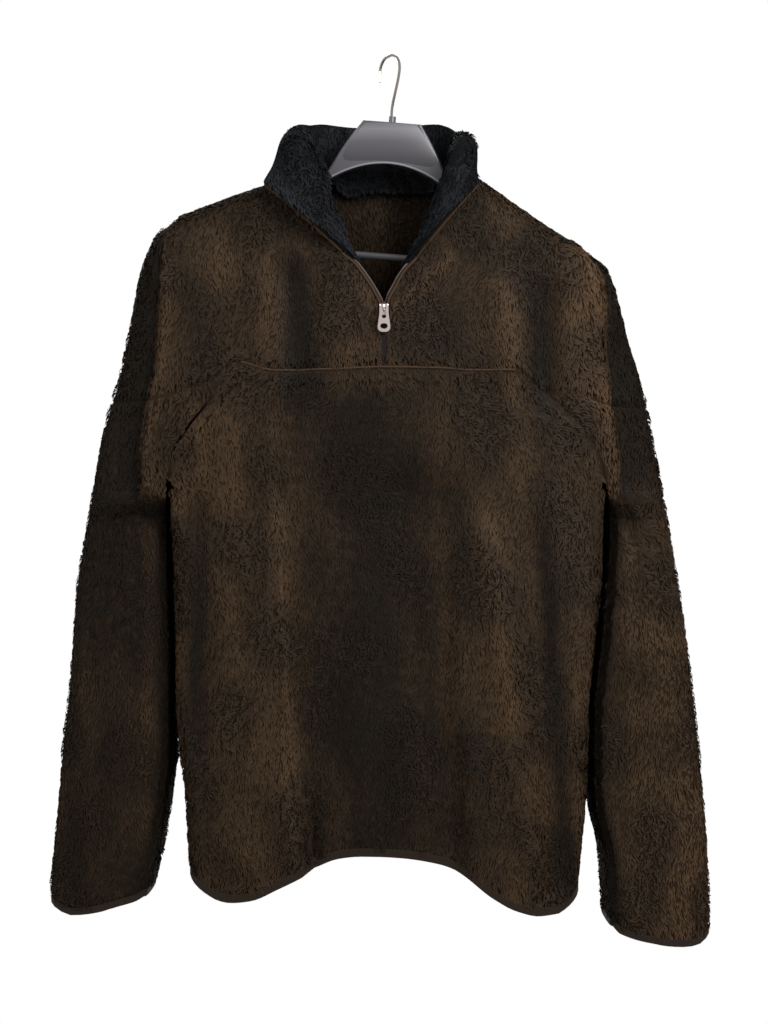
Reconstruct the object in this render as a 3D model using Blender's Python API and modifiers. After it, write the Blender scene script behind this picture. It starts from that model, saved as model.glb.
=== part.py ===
"""Quarter-zip pile fleece pullover on a hanger. Metres, +Z up, origin inside the top of the hanger's hook.

The cloth is worked out from short tables of sizes in millimetres, one table for each side because the
garment hangs with its right side lower. Outward sizes are measured from X = 0 to that side, and heights
are negative below the hook.
"""
import math

import bmesh
import bpy
import numpy as np
from mathutils import Matrix

MM = 0.001
WALL = 5.0          # backing and pile of the fleece
SEAM = 0.15         # each panel stops this far short of its seam
SLEEVE_GAP = 1.5    # below the yoke's lower seam, where the fold turns sharply
RIDGE_GAP = 0.65    # half the gap between front and back along the shoulder
SIDE_GAP = 0.05     # the same gap along the shoulder's outer edge, as a share of one stretch of the arm
FRONT_COLUMNS = 31  # points across the front panel
WELD = 0.05         # points of neighbouring patches closer than this are one
ZIP_X = -4.0        # the zip's line
SLIDER_Z = -259.6   # middle of the slider
PULL_HINGE_Z = -257.0
CHAIN_Z = -289.5    # middle of the closed chain
TOP_ROUND = 28.0    # height over which the cloth rounds over the shoulder
UNDERARM_Z = -432.0
TIP_Z = {"left": -176.0, "right": -204.0}   # end of the shoulder
SLEEVE_TOP_Z = {"left": -341.0, "right": -348.0}   # the sleeve's upper seam on the front of the arm
CORNER = 22.0       # radius of the body's front and back corners
TILT = math.radians(4.4)
HEM_BAND = 8.0      # height of the hem's binding
BAND_GAP = 1.9      # between a binding and its cloth
CUFF_BAND = 7.0     # height of a cuff's binding

# height, outermost line, front fold edge, inner line of the arm
ARM = {
    "left": [(-165, 220, 206, 190), (-178, 232, 214, 198), (-195, 240, 219, 203), (-220, 249, 221, 206),
             (-265, 258, 224, 210), (-311, 267, 229, 214), (-340, 275, 235, 216), (-381, 287, 242, 216),
             (-412, 293, 244, 216), (-432, 296, 243, 216), (-462, 301, 242, 218), (-529, 312, 238, 217),
             (-633, 320, 238, 215), (-698, 327, 240, 215), (-724, 329, 243, 218), (-789, 335, 252, 229),
             (-826, 338, 258, 237), (-850, 337, 262, 240)],
    "right": [(-188, 198, 186, 172), (-200, 207, 193, 178), (-213, 219, 200, 184), (-240, 229, 208, 192),
              (-290, 243, 211, 196), (-330, 255, 215, 200), (-362, 261, 221, 205), (-400, 269, 226, 211),
              (-428, 274, 226, 214), (-440, 276, 225, 215), (-470, 282, 232, 217), (-508, 288, 238, 216),
              (-577, 299, 236, 210), (-664, 309, 232, 202), (-734, 316, 234, 203), (-803, 321, 246, 216),
              (-862, 322, 252, 219), (-885, 321, 254, 219)],
}
# height, depth of the crease behind the fold edge, front and back depth of the arm, back of the arm
ARM_DEPTH = [(-165, 5, 30, 30), (-200, 9, 36, 34), (-260, 18, 42, 40), (-340, 26, 46, 44), (-405, 28, 46, 46),
             (-432, 26, 44, 46), (-446, 8, 30, 44), (-470, 2, 24, 38), (-540, 2, 24, 34), (-700, 2, 24, 34),
             (-890, 2, 23, 33)]
# height, body side line on the left, on the right, depth at the front corner, at the front middle, back
BODY = [(-150, 216, 213, 44, 52, 44), (-240, 216, 213, 48, 55, 50), (-314, 216, 213, 48, 58, 52),
        (-417, 216, 211, 47, 62, 54), (-432, 213, 211, 46, 62, 54), (-501, 211, 210, 46, 66, 55),
        (-579, 209, 203, 47, 70, 56), (-640, 209, 197, 47, 72, 56), (-684, 206, 195, 47, 74, 56),
        (-721, 199, 194, 47, 75, 56), (-769, 196, 190, 47, 76, 56), (-850, 191, 182, 46, 76, 55)]
# X, height of the shoulder ridge
RIDGE = [(-232, -178), (-222, -169), (-206, -161), (-160, -142), (-122, -129), (-70, -110), (-10, -98),
         (52, -102), (95, -126), (120, -143), (163, -172), (206, -199), (219, -212)]
# X, height of the yoke's lower seam
YOKE_SEAM = [(-290, -348), (-233, -342), (-202, -336), (-180, -331), (-158, -321), (-145, -309), (-110, -317),
             (-55, -316), (-4, -314), (51, -315), (80, -317), (119, -317), (133, -323), (152, -337), (174, -337),
             (198, -342), (212, -347), (270, -352)]
# X, height of the front hem
FRONT_HEM = [(-216, -782), (-195, -790), (-190, -799), (-181, -815), (-169, -827), (-154, -830), (-132, -827),
             (-104, -814), (-76, -800), (-49, -788), (-25, -785), (12, -787), (49, -793), (75, -804), (98, -822),
             (124, -837), (147, -843), (165, -842), (176, -832), (184, -815), (210, -800)]
# X, height of the back hem
BACK_HEM = [(-216, -782), (-195, -790), (-120, -804), (0, -806), (120, -810), (184, -815), (210, -800)]
# height, outward place of the front armhole seam
ARMHOLE = {
    "left": [(-321, 157), (-345, 172), (-367, 192), (-386, 205), (-402, 212), (-432, 216)],
    "right": [(-337, 152), (-360, 175), (-380, 193), (-398, 205), (-413, 209), (-432, 213)],
}
# outward place, height of the cuff's edge
CUFF = {
    "left": [(225, -818), (236, -824), (242, -834), (268, -844), (300, -853), (316, -855), (332, -849), (340, -842)],
    "right": [(214, -856), (220, -862), (228, -870), (258, -880), (299, -886), (313, -884), (322, -876)],
}
# height, outward place of the zip edge, then of the neck seam up to the shoulder
FRONT_EDGE = {
    "left": [(-330, 8.6), (-254, 8.6), (-244, 13), (-231, 21), (-215, 33), (-204, 45), (-175, 56), (-145, 64),
             (-122, 69), (-108, 70)],
    "right": [(-330, 0.6), (-254, 0.6), (-237, 8), (-223, 16), (-208, 29), (-175, 44), (-145, 54),
              (-122, 64), (-105, 67)],
}
NECK_FRONT = {"left": -204.0, "right": -208.0}
BACK_NECK_DROP = 19.0
TAPE_GAP = 0.9       # between the tape and the yoke's edge, whose curve has short straight stretches
TAPE_SHOWS = 3.6     # width of tape beyond the fleece
TAPE_LOW = -313.0    # its lower end, just above the yoke's seam
# share of the way round from the left front corner, X, Y, height of the collar's top edge
COLLAR_TOP = [(0.0, -119, -63, -141), (0.10, -108, -52, -118), (0.19, -99, -22, -88), (0.28, -86, 8, -68),
              (0.36, -66, 34, -60), (0.43, -38, 52, -59), (0.5, -4, 60, -58), (0.57, 36, 54, -56),
              (0.64, 56, 36, -59), (0.72, 72, 8, -74), (0.81, 81, -22, -93), (0.90, 85, -50, -118),
              (1.0, 87, -63, -141)]
# X at the top, X at the bottom, top and bottom height, half width, height towards the viewer
FRONT_FOLDS = [(-94, -86, -215, -330, 13, -6), (152, 150, -235, -345, 12, -7), (106, 118, -222, -330, 16, 4),
               (-180, -184, -450, -690, 13, -7), (90, 140, -470, -800, 15, 6), (138, 160, -470, -830, 13, -6),
               (-74, -70, -740, -840, 6, -5), (-40, -52, -200, -300, 20, 3), (20, 8, -420, -640, 24, -4),
               (-28, -22, -520, -800, 18, 3)]
BACK_FOLDS = [(-120, -130, -330, -810, 20, -6), (-60, -52, -420, -810, 22, 6), (30, 40, -260, -810, 24, -6),
              (105, 118, -400, -810, 20, 6), (165, 168, -430, -810, 14, -5), (-20, -12, -150, -420, 26, -4)]
# height, X of the left and right edges of the recessed middle of the front, its depth
RECESS = [(-340, -110, 60, 0), (-400, -108, 61, 3), (-545, -107, 63, 10), (-668, -98, 65, 13),
          (-729, -89, 70, 14), (-775, -79, 72, 15), (-850, -72, 73, 15)]


def table(rows, column, key=0):
    """A smooth function read from one column of a table: cubic Hermite pieces whose slopes are limited."""
    rows = sorted(rows, key=lambda row: row[key])
    at = np.array([row[key] for row in rows], float)
    value = np.array([row[column] for row in rows], float)
    step = np.diff(at)
    slope = np.diff(value) / step
    middle = np.where(slope[:-1] * slope[1:] > 0, 2 * slope[:-1] * slope[1:] / (slope[:-1] + slope[1:] + 1e-12), 0)
    tangent = np.concatenate([[slope[0]], middle, [slope[-1]]])

    def read(x):
        x = np.clip(x, at[0], at[-1])
        k = np.clip(np.searchsorted(at, x) - 1, 0, len(step) - 1)
        t = (x - at[k]) / step[k]
        return ((1 + 2 * t) * (1 - t) ** 2 * value[k] + t * (1 - t) ** 2 * step[k] * tangent[k]
                + t * t * (3 - 2 * t) * value[k + 1] + t * t * (t - 1) * step[k] * tangent[k + 1])
    return read


SIDES = {"left": -1, "right": 1}
outer_x = {s: table(ARM[s], 1) for s in SIDES}
fold_x = {s: table(ARM[s], 2) for s in SIDES}
inner_x = {s: table(ARM[s], 3) for s in SIDES}
crease, arm_front, arm_back = (table(ARM_DEPTH, c) for c in (1, 2, 3))
side_x = {"left": table(BODY, 1), "right": table(BODY, 2)}
corner_y, middle_y, back_y = (table(BODY, c) for c in (3, 4, 5))
ridge, yoke_seam = table(RIDGE, 1), table(YOKE_SEAM, 1)
front_hem, back_hem = table(FRONT_HEM, 1), table(BACK_HEM, 1)
armhole_x = {s: table(ARMHOLE[s], 1) for s in SIDES}
cuff_z = {s: table(CUFF[s], 1) for s in SIDES}
edge_x = {s: table(FRONT_EDGE[s], 1) for s in SIDES}
recess_left, recess_right, recess_depth = (table(RECESS, c) for c in (1, 2, 3))


def ease(t):
    t = np.clip(t, 0, 1)
    return t * t * (3 - 2 * t)


def folds(x, z, rows):
    """Sum of soft ridges and troughs, each a bell across its line and faded at its two ends."""
    total = 0 * x
    for x_top, x_low, top, low, half, height in rows:
        along = np.clip((top - z) / (top - low), 0, 1)
        line = x_top + (x_low - x_top) * along
        fade = ease((top - z) / 40 + 0.5) * ease((z - low) / 40 + 0.5)
        total = total + height * np.exp(-((x - line) / half) ** 2) * fade
    return total


def front_y(x, z):
    """The front's depth: a shallow crown between its corners, with the folds and the recessed middle."""
    share = np.clip(np.where(x < 0, -x / side_x["left"](z), x / side_x["right"](z)), 0, 1)
    crown = (1 - share ** 3) * (middle_y(z) - corner_y(z))
    recess = recess_depth(z) * ease((x - recess_left(z)) / 16 + 0.5) * ease((recess_right(z) - x) / 22 + 0.5)
    calm = ease((1 - share) / 0.12)
    return -(corner_y(z) + crown + (folds(x, z, FRONT_FOLDS) - recess) * calm)


def rear_y(x, z):
    """The back's depth: flat, with soft folds that fade at the side seams."""
    share = np.clip(np.where(x < 0, -x / side_x["left"](z), x / side_x["right"](z)), 0, 1)
    return back_y(z) - 6 * share ** 3 + folds(x, z, BACK_FOLDS) * ease((1 - share) / 0.12)


def chain(side, a, z):
    """The arm's section: a smooth curve through seven points, from the front (1) round to the back (7)."""
    s = SIDES[side]
    fold, out, inner = fold_x[side](z), outer_x[side](z), inner_x[side](z)
    deep = crease(z)
    hang = ease((UNDERARM_Z - z) / 30)
    x1 = (fold - 8) * (1 - hang) + (inner + 9) * hang
    body_front = front_y(s * x1, z) * (1 - hang) - arm_front(z) * hang
    body_back = rear_y(s * inner, z) * (1 - hang) + arm_back(z) * hang
    front = body_front + deep
    width = out - fold
    points = [(x1 - 14, body_front), (x1, body_front), (fold - 0.05 * deep, body_front + 0.28 * deep),
              (fold - 0.14 * deep, body_front + 0.84 * deep), (fold + 0.35 * width, front + 1), (out, 0 * z),
              (out - 0.45 * width, 0.75 * body_back), (inner, body_back), (inner - 16, 0.75 * body_back)]
    k = np.clip(np.floor(a).astype(int), 1, 6)
    t = a - k
    xs, ys = (np.stack([np.broadcast_to(p[i], np.shape(t)) for p in points]) for i in (0, 1))

    def blend(v):
        p, q, r, w = (np.take_along_axis(v, (k + j)[None], 0)[0] for j in (-1, 0, 1, 2))
        return 0.5 * (2 * q + (r - p) * t + (2 * p - 5 * q + 4 * r - w) * t * t + (3 * q - p - 3 * r + w) * t ** 3)
    return blend(xs) * s, blend(ys)


def over(q):
    """How far down and how far out the cloth is after going q quarter turns over the ridge."""
    turn = np.clip(q, 0, 1) * np.pi / 2
    drop = TOP_ROUND * (1 - np.cos(turn)) + np.maximum(q - 1, 0) * TOP_ROUND * np.pi / 2
    return drop, np.sin(turn)


def turns(drop):
    """The inverse of over: the quarter turns that reach a drop below the ridge."""
    near = np.arccos(np.clip(1 - drop / TOP_ROUND, -1, 1)) * 2 / np.pi
    return np.where(drop < TOP_ROUND, near, 1 + (drop - TOP_ROUND) / (TOP_ROUND * np.pi / 2))


def chain_top(side, a):
    """Height of the shoulder's end above each point of the arm's section, falling to the tip at point 5."""
    s = SIDES[side]
    near = np.where(a < 5, ridge(s * front_top_x(side)), ridge(s * back_top_x(side)))
    reach = np.where(a < 5, (a - 1) / 4, (7 - a) / 2)
    return near + (TIP_Z[side] - near) * np.clip(reach, 0, 1) ** 1.3


def front_top_x(side):
    return fold_x[side](TIP_Z[side] + 12) - 8


def back_top_x(side):
    return inner_x[side](TIP_Z[side] + 14)


def chain_low(side, a):
    """Height of the seam between the yoke or the back above and the sleeve below."""
    return yoke_seam(SIDES[side] * chain_x1(side)) - 1.5 * (a - 1)


def chain_x1(side):
    """Outward place of the arm's point 1 at the yoke's seam."""
    return fold_x[side](SLEEVE_TOP_Z[side]) - 8


def grid_mesh(name, patches, wall=WALL, material=None, depth=0.0):
    """A closed wall from patches: each is a function of (u, v) in 0 to 1 and its columns and rows.

    The outer points come from the function. The inner ones lie a wall's thickness along the surface's own
    normal, found from small steps in u and v, so that panels that meet share the same edge face.
    """
    step = 2e-3
    places, normals, faces = [], [], []
    for function, us, vs, flip in patches:
        u, v = np.meshgrid(np.asarray(us, float), np.asarray(vs, float))

        def at(uu, vv):
            return np.stack(np.broadcast_arrays(*function(uu, vv)), -1)
        low_u, high_u = np.clip(u - step, us[0], us[-1]), np.clip(u + step, us[0], us[-1])
        low_v, high_v = np.clip(v - step, vs[0], vs[-1]), np.clip(v + step, vs[0], vs[-1])
        normal = np.cross(at(high_u, v) - at(low_u, v), at(u, high_v) - at(u, low_v))
        normal /= np.linalg.norm(normal, axis=-1, keepdims=True) * (-1 if flip else 1)
        rows, cols = u.shape
        first = sum(len(p) for p in places) + np.arange(rows * cols).reshape(rows, cols)
        quads = np.stack([first[:-1, :-1], first[:-1, 1:], first[1:, 1:], first[1:, :-1]], -1).reshape(-1, 4)
        places.append(at(u, v).reshape(-1, 3))
        normals.append(normal.reshape(-1, 3))
        faces.append(quads[:, ::-1] if flip else quads)
    places, normals, faces = np.concatenate(places), np.concatenate(normals), np.concatenate(faces)
    same = np.linalg.norm(places[:, None] - places[None], axis=-1) < WELD
    keep = np.argmax(same, axis=1)
    normals = np.array([normals[row].sum(0) for row in same])
    normals /= np.linalg.norm(normals, axis=1, keepdims=True)
    mesh = bmesh.new()
    outer = {k: mesh.verts.new((places[k] - normals[k] * depth) * MM) for k in sorted(set(keep))}
    inner = {k: mesh.verts.new((places[k] - normals[k] * (depth + wall)) * MM) for k in sorted(set(keep))}
    for face in faces:
        ring = list(dict.fromkeys(keep[face]))
        if len(ring) > 2:
            mesh.faces.new([outer[k] for k in ring])
    for edge in [e for e in mesh.edges if e.is_boundary]:
        twin = {vert: key for key, vert in outer.items() if vert in edge.verts}
        start, end = edge.link_loops[0].vert, edge.link_loops[0].link_loop_next.vert
        mesh.faces.new([end, start, inner[twin[start]], inner[twin[end]]])
    for face in faces:
        ring = list(dict.fromkeys(keep[face]))
        if len(ring) > 2:
            mesh.faces.new([inner[k] for k in ring[::-1]])
    bmesh.ops.triangulate(mesh, faces=mesh.faces)
    data = bpy.data.meshes.new(name)
    mesh.to_mesh(data)
    mesh.free()
    return add_object(name, data, material)


def finish(name, colour, rough, metallic=0.0):
    """A material with one colour, as the piece shows it."""
    material = bpy.data.materials.new(name)
    material.use_nodes = True
    shader = material.node_tree.nodes["Principled BSDF"]
    shader.inputs["Base Color"].default_value = (*colour, 1)
    shader.inputs["Roughness"].default_value = rough
    shader.inputs["Metallic"].default_value = metallic
    return material


def add_object(name, data, material):
    item = bpy.data.objects.new(name, data)
    part_collection.objects.link(item)
    data.materials.append(material)
    return item


for startup in list(bpy.data.objects):
    bpy.data.objects.remove(startup)
part_collection = bpy.data.collections.new("fleece_pullover")
bpy.context.scene.collection.children.link(part_collection)
BROWN = finish("brown_pile_fleece", (0.03, 0.018, 0.011), 0.95)
BLACK = finish("black_pile_fleece", (0.006, 0.007, 0.009), 0.95)
BINDING = finish("brown_binding", (0.035, 0.021, 0.013), 0.8)
TAPE = finish("brown_zip_tape", (0.04, 0.026, 0.018), 0.7)
METAL = finish("nickel_zip", (0.62, 0.56, 0.54), 0.3, 1.0)
STEEL = finish("bright_wire", (0.6, 0.57, 0.53), 0.25, 1.0)
PLASTIC = finish("grey_moulded_plastic", (0.045, 0.042, 0.046), 0.45)


def front_top(side):
    """Outward place of the front panel's upper corner."""
    return armhole_x[side](ARMHOLE[side][0][0] - 2 * SEAM) - 2 * SEAM


def build_front():
    """Front panel: the flat from armhole to armhole, and a strip round each corner to the side seam."""
    middle_w = 0.62

    def flat(u, v, band=HEM_BAND):
        low = np.clip(v / middle_w, 0, 1)
        high = np.clip((v - middle_w) / (1 - middle_w), 0, 1)

        def edge(side):
            s = SIDES[side]
            y_joint = ARMHOLE[side][0][0]
            z_edge = UNDERARM_Z + (y_joint - SEAM * 2 - UNDERARM_Z) * high
            seam = armhole_x[side](z_edge) - SEAM * 2
            corner = corner_x(side, low)
            return s * np.where(v > middle_w, seam, corner)
        left, right = edge("left"), edge("right")
        x = left + (right - left) * u
        bottom = front_hem(x) + band
        ends = [SIDES[side] * front_top(side) for side in SIDES]
        x_seam = x * (1 - high) + (ends[0] + (ends[1] - ends[0]) * u) * high
        top = yoke_seam(x_seam) - 2 * SEAM
        z = bottom + (UNDERARM_Z - bottom) * low + (top - UNDERARM_Z) * high
        return x, front_y(x, z), z

    def corner_x(side, low):
        z = -800 + (UNDERARM_Z + 800) * low
        radius = CORNER + (6.0 - CORNER) * ease((low - 0.8) / 0.2)
        return side_x[side](z) - radius

    def strip(side, front):
        s = SIDES[side]

        def surface(u, v, band=HEM_BAND):
            z_line = -800 + (UNDERARM_Z + 800) * v
            radius = CORNER + (6.0 - CORNER) * ease((v - 0.8) / 0.2)
            x_corner = side_x[side](z_line) - radius
            bottom = (front_hem if front else back_hem)(s * x_corner) * (1 - u) + front_hem(s * 197) * u + band
            z = bottom + (UNDERARM_Z - bottom) * v
            deep = -front_y(s * x_corner, z) if front else rear_y(s * x_corner, z)
            arc = np.clip(u / 0.6, 0, 1) * np.pi / 2
            rest = np.clip((u - 0.6) / 0.4, 0, 1)
            out = x_corner + radius * np.sin(arc)
            y = (deep - radius) + radius * np.cos(arc) - (deep - radius - SEAM) * rest
            return s * out, (-y if front else y), z
        return surface
    lows, highs = np.linspace(0, middle_w, 12), np.linspace(middle_w, 1, 5)[1:]
    turn = [0, 0.2, 0.4, 0.6, 1.0]
    patches = [(flat, np.linspace(0, 1, FRONT_COLUMNS), [*lows, *highs], False),
               (strip("left", True), turn, np.linspace(0, 1, 12), True),
               (strip("right", True), turn, np.linspace(0, 1, 12), False)]
    grid_mesh("front_body", patches, material=BROWN)
    return flat, strip


front_flat, side_strip = build_front()


def build_back():
    """Back panel: one piece from neck and shoulders to hem, and over the shoulder's end to the dropped seam."""
    low_w, seam_w = 0.5, 0.64

    def shares(v):
        return (np.clip(v / low_w, 0, 1), np.clip((v - low_w) / (seam_w - low_w), 0, 1),
                np.clip((v - seam_w) / (1 - seam_w), 0, 1))

    def rows(v, top, seam_z, q_top, bottom):
        """Height and roundness up a column: hem to underarm, to the dropped seam, then over the ridge."""
        low, mid, high = shares(v)
        q_seam = turns(top - seam_z)
        drop, out = over(q_seam + (q_top - q_seam) * high)
        z = np.where(v > seam_w, top - drop, UNDERARM_Z + (seam_z - UNDERARM_Z) * mid)
        return np.where(v > low_w, z, bottom + (UNDERARM_Z - bottom) * low), np.where(v > seam_w, out, 1.0)

    def edge(side, v):
        s = SIDES[side]
        low = shares(v)[0]
        z_line = -800 + (UNDERARM_Z + 800) * low
        radius = CORNER + (6.0 - CORNER) * ease((low - 0.8) / 0.2)
        top = ridge(s * back_top_x(side))
        z, out = rows(v, top, chain_low(side, 7.0), 0.0, 0.0)
        return np.where(v > low_w, inner_x[side](z) - (v < seam_w) * 2 * SEAM, side_x[side](z_line) - radius)

    def flat(u, v, band=HEM_BAND):
        left, right = -edge("left", v), edge("right", v)
        x = left + (right - left) * u
        x_top = -back_top_x("left") + (back_top_x("left") + back_top_x("right")) * u
        seam_z = chain_low("left", 7.0) + (chain_low("right", 7.0) - chain_low("left", 7.0)) * u
        z, out = rows(v, ridge(x_top), seam_z, neck_turns(x_top), back_hem(x) + band)
        return x, rear_y(x, z) * out + RIDGE_GAP * (1 - out), z

    def shoulder_end(side):
        def surface(u, v):
            a = 7 - (2 - SIDE_GAP) * u
            top, seam_z = chain_top(side, a), chain_low(side, a) + 2 * SEAM * (u > 0)
            q_seam = turns(top - seam_z)
            drop, out = over(q_seam * (1 - v))
            z = top - drop
            x, y = chain(side, a, z)
            return x, y * out + RIDGE_GAP * (1 - out), z
        return surface
    lows, mids = np.linspace(0, low_w, 12), np.linspace(low_w, seam_w, 4)[1:]
    tops = np.array([0.22, 0.42, 0.6, 0.74, 0.84, 0.92, 1])
    turn = [0, 0.2, 0.4, 0.6, 1.0]
    patches = [(flat, np.linspace(0, 1, 27), [*lows, *mids, *(seam_w + (1 - seam_w) * tops)], True),
               (side_strip("left", False), turn, np.linspace(0, 1, 12), False),
               (side_strip("right", False), turn, np.linspace(0, 1, 12), True),
               (shoulder_end("left"), np.linspace(0, 1, 6), [0, *tops], False),
               (shoulder_end("right"), np.linspace(0, 1, 6), [0, *tops], True)]
    grid_mesh("back_body", patches, material=BROWN)
    return flat


def neck_turns(x):
    """Quarter turns over the ridge at which the back stops: the seam, or the neck's edge between its ends."""
    left, right = FRONT_EDGE["left"][-1][1], FRONT_EDGE["right"][-1][1]
    middle, half = (right - left) / 2, (right + left) / 2
    return turns(BACK_NECK_DROP * (1 - np.clip(np.abs(x - middle) / half, 0, 1) ** 4))


def yoke_flat(side):
    """The yoke's front face as a function: from the zip and neck edge (0) to the arm's point 1 (1)."""
    s = SIDES[side]
    neck, zip_end = FRONT_EDGE[side][-1][1], edge_x[side](TAPE_LOW)

    def height(u, v):
        top = ridge(s * (neck + (front_top_x(side) - neck) * u))
        low = yoke_seam(s * (zip_end + (chain_x1(side) - zip_end) * u))
        drop, out = over(turns(top - low) * (1 - v))
        return top - drop, out

    def surface(u, v):
        z, out = height(u, v)
        start, end = edge_x[side](height(0 * u, v)[0]), fold_x[side](height(0 * u + 1, v)[0]) - 8
        x = start + (end - start) * u
        return s * x, front_y(s * x, z) * out - RIDGE_GAP * (1 - out), z
    return surface


def seam_columns(side):
    """The yoke's columns: under each of the front panel's and of the sleeve's, as shares of its width."""
    s = SIDES[side]
    front = np.linspace(-front_top("left"), front_top("right"), FRONT_COLUMNS) * s
    start, end, joint = edge_x[side](TAPE_LOW), chain_x1(side), front_top(side)
    places = [start, *np.sort(front[front > start + 3]), (joint + end) / 2 + SEAM, end]
    return (np.array(places) - start) / (end - start)


def build_yoke(side):
    """Front yoke: chest and neck, round the fold edge into the crease and out over the shoulder's end."""
    flip = side == "left"

    def shoulder_end(u, v):
        a = 1 + (4 - SIDE_GAP) * u
        top = chain_top(side, a)
        q_low = turns(top - chain_low(side, a))
        drop, out = over(q_low * (1 - v))
        z = top - drop
        x, y = chain(side, a, z)
        return x, y * out - RIDGE_GAP * (1 - out), z
    vs = [0, 0.16, 0.27, 0.33, 0.39, 0.45, 0.51, 0.58, 0.67, 0.76, 0.84, 0.91, 0.96, 1]
    patches = [(yoke_flat(side), seam_columns(side), vs, flip),
               (shoulder_end, [*(np.arange(12) / 3 / (4 - SIDE_GAP)), 1.0], vs, flip)]
    return grid_mesh("yoke_" + side, patches, material=BROWN)


def build_sleeve(side):
    """Sleeve: one rolled piece. Below the underarm it is a tube, above it stops at armhole and yoke seams."""
    s = SIDES[side]
    flip = side == "left"
    low_w = 0.76

    def rise(v, bottom, top):
        low, high = np.clip(v / low_w, 0, 1), np.clip((v - low_w) / (1 - low_w), 0, 1)
        return np.where(v > low_w, UNDERARM_Z + (top - UNDERARM_Z) * high, bottom + (UNDERARM_Z - bottom) * low)

    def bottom_at(x, band):
        return cuff_z[side](s * x) + band

    def round_arm(u, v, band=CUFF_BAND):
        a = 1 + 6 * u
        z = rise(v, bottom_at(chain(side, a, -850 + 0 * a)[0], band), chain_low(side, a) - SLEEVE_GAP)
        return (*chain(side, a, z), z)

    def corner(z):
        """The inner front corner: the armhole seam's end at the underarm, drawn in below it."""
        hang = ease((UNDERARM_Z - z) / 30)
        x = (armhole_x[side](z) + 2 * SEAM) * (1 - hang) + (inner_x[side](z) + 3) * hang
        return x, front_y(s * x, z) * (1 - hang) - 0.8 * arm_front(z) * hang

    def front_face(u, v, band=CUFF_BAND):
        x_low = s * corner(-850.0)[0] * (1 - u) + chain(side, 1.0 + 0 * u, -850 + 0 * u)[0] * u
        seam_top = ARMHOLE[side][0][0] - SLEEVE_GAP
        joint = armhole_x[side](seam_top) + 2 * SEAM
        top = yoke_seam(s * (joint + (chain_x1(side) - joint) * u)) - SLEEVE_GAP
        z = rise(v, bottom_at(x_low, band), top)
        inner, y_inner = corner(z)
        x_end, y_end = chain(side, 1.0 + 0 * z, z)
        x = s * inner * (1 - u) + x_end * u
        hang = ease((UNDERARM_Z - z) / 30)
        flat_y = front_y(x, z) + (y_inner - front_y(s * inner, z)) * (1 - u) + (y_end - front_y(x_end, z)) * u
        y = flat_y * (1 - hang) + (y_inner * (1 - u) + y_end * u) * hang
        return x, y, z

    def inside(u, v, band=CUFF_BAND):
        """From the back (0) round the inner side, past the underarm seam, to the inner front corner (1)."""
        x_low = chain(side, 7.0 + 0 * u, -850 + 0 * u)[0] * (1 - u) + s * corner(-850.0)[0] * u
        z = rise(v * low_w, bottom_at(x_low, band), 0.0)
        x_back, y_back = chain(side, 7.0 + 0 * z, z)
        x_front, y_front = corner(z)
        bow = 3 * np.sin(np.pi * u) ** 0.5 * ease((UNDERARM_Z - z) / 30)
        share = 0.5 - 0.5 * np.cos(np.pi * u)
        return (x_back * (1 - u) + s * x_front * u) - s * bow, y_back * (1 - share) + y_front * share, z
    lows, highs = np.linspace(0, low_w, 17), np.linspace(low_w, 1, 5)[1:]
    vs = [*lows, *highs]
    patches = [(front_face, [0, 0.5, 1], vs, flip),
               (round_arm, np.linspace(0, 1, 19), vs, flip),
               (inside, np.linspace(0, 1, 7), np.linspace(0, 1, 17), flip)]
    grid_mesh("sleeve_" + side, patches, material=BROWN)
    build_binding("cuff_binding_" + side, patches, CUFF_BAND)


def build_binding(name, patches, band):
    """A narrow bound edge: the lowest line of each patch, raised by the band's height less a seam gap."""
    def lowest(function):
        return lambda u, v: function(u, 0 * v, band=v * (band - BAND_GAP))
    grid_mesh(name, [(lowest(f), us, [0, 1], flip) for f, us, vs, flip in patches], material=BINDING)


def neck_line(p):
    """The neck seam: up the left yoke's edge, across the back below its ridge, down the right yoke's edge."""
    left_x, right_x = -FRONT_EDGE["left"][-1][1], FRONT_EDGE["right"][-1][1]
    share = np.clip(np.minimum(p, 1 - p) / NECK_SHARE, 0, 1)
    points = []
    for side, end in (("left", left_x), ("right", right_x)):
        top = float(ridge(end))
        z = NECK_FRONT[side] + (top - NECK_FRONT[side]) * share
        x = SIDES[side] * edge_x[side](z)
        points.append((x, front_y(x, z) * over(turns(top - z))[1], z))
    across = np.clip((p - NECK_SHARE) / (1 - 2 * NECK_SHARE), 0, 1)
    x = left_x + (right_x - left_x) * across
    drop, out = over(neck_turns(x))
    behind = (x, rear_y(x, ridge(x) - drop) * out, ridge(x) - drop)
    left, right = points
    return tuple(np.where(p < NECK_SHARE, left[i], np.where(p > 1 - NECK_SHARE, right[i], behind[i]))
                 for i in range(3))


COLLAR_GAP = 0.026   # share of the collar's height left free above the neck seam
NECK_SHARE = 0.27    # share of the collar's length from each front end to the shoulder
collar_top = [table(COLLAR_TOP, c) for c in (1, 2, 3)]


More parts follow.
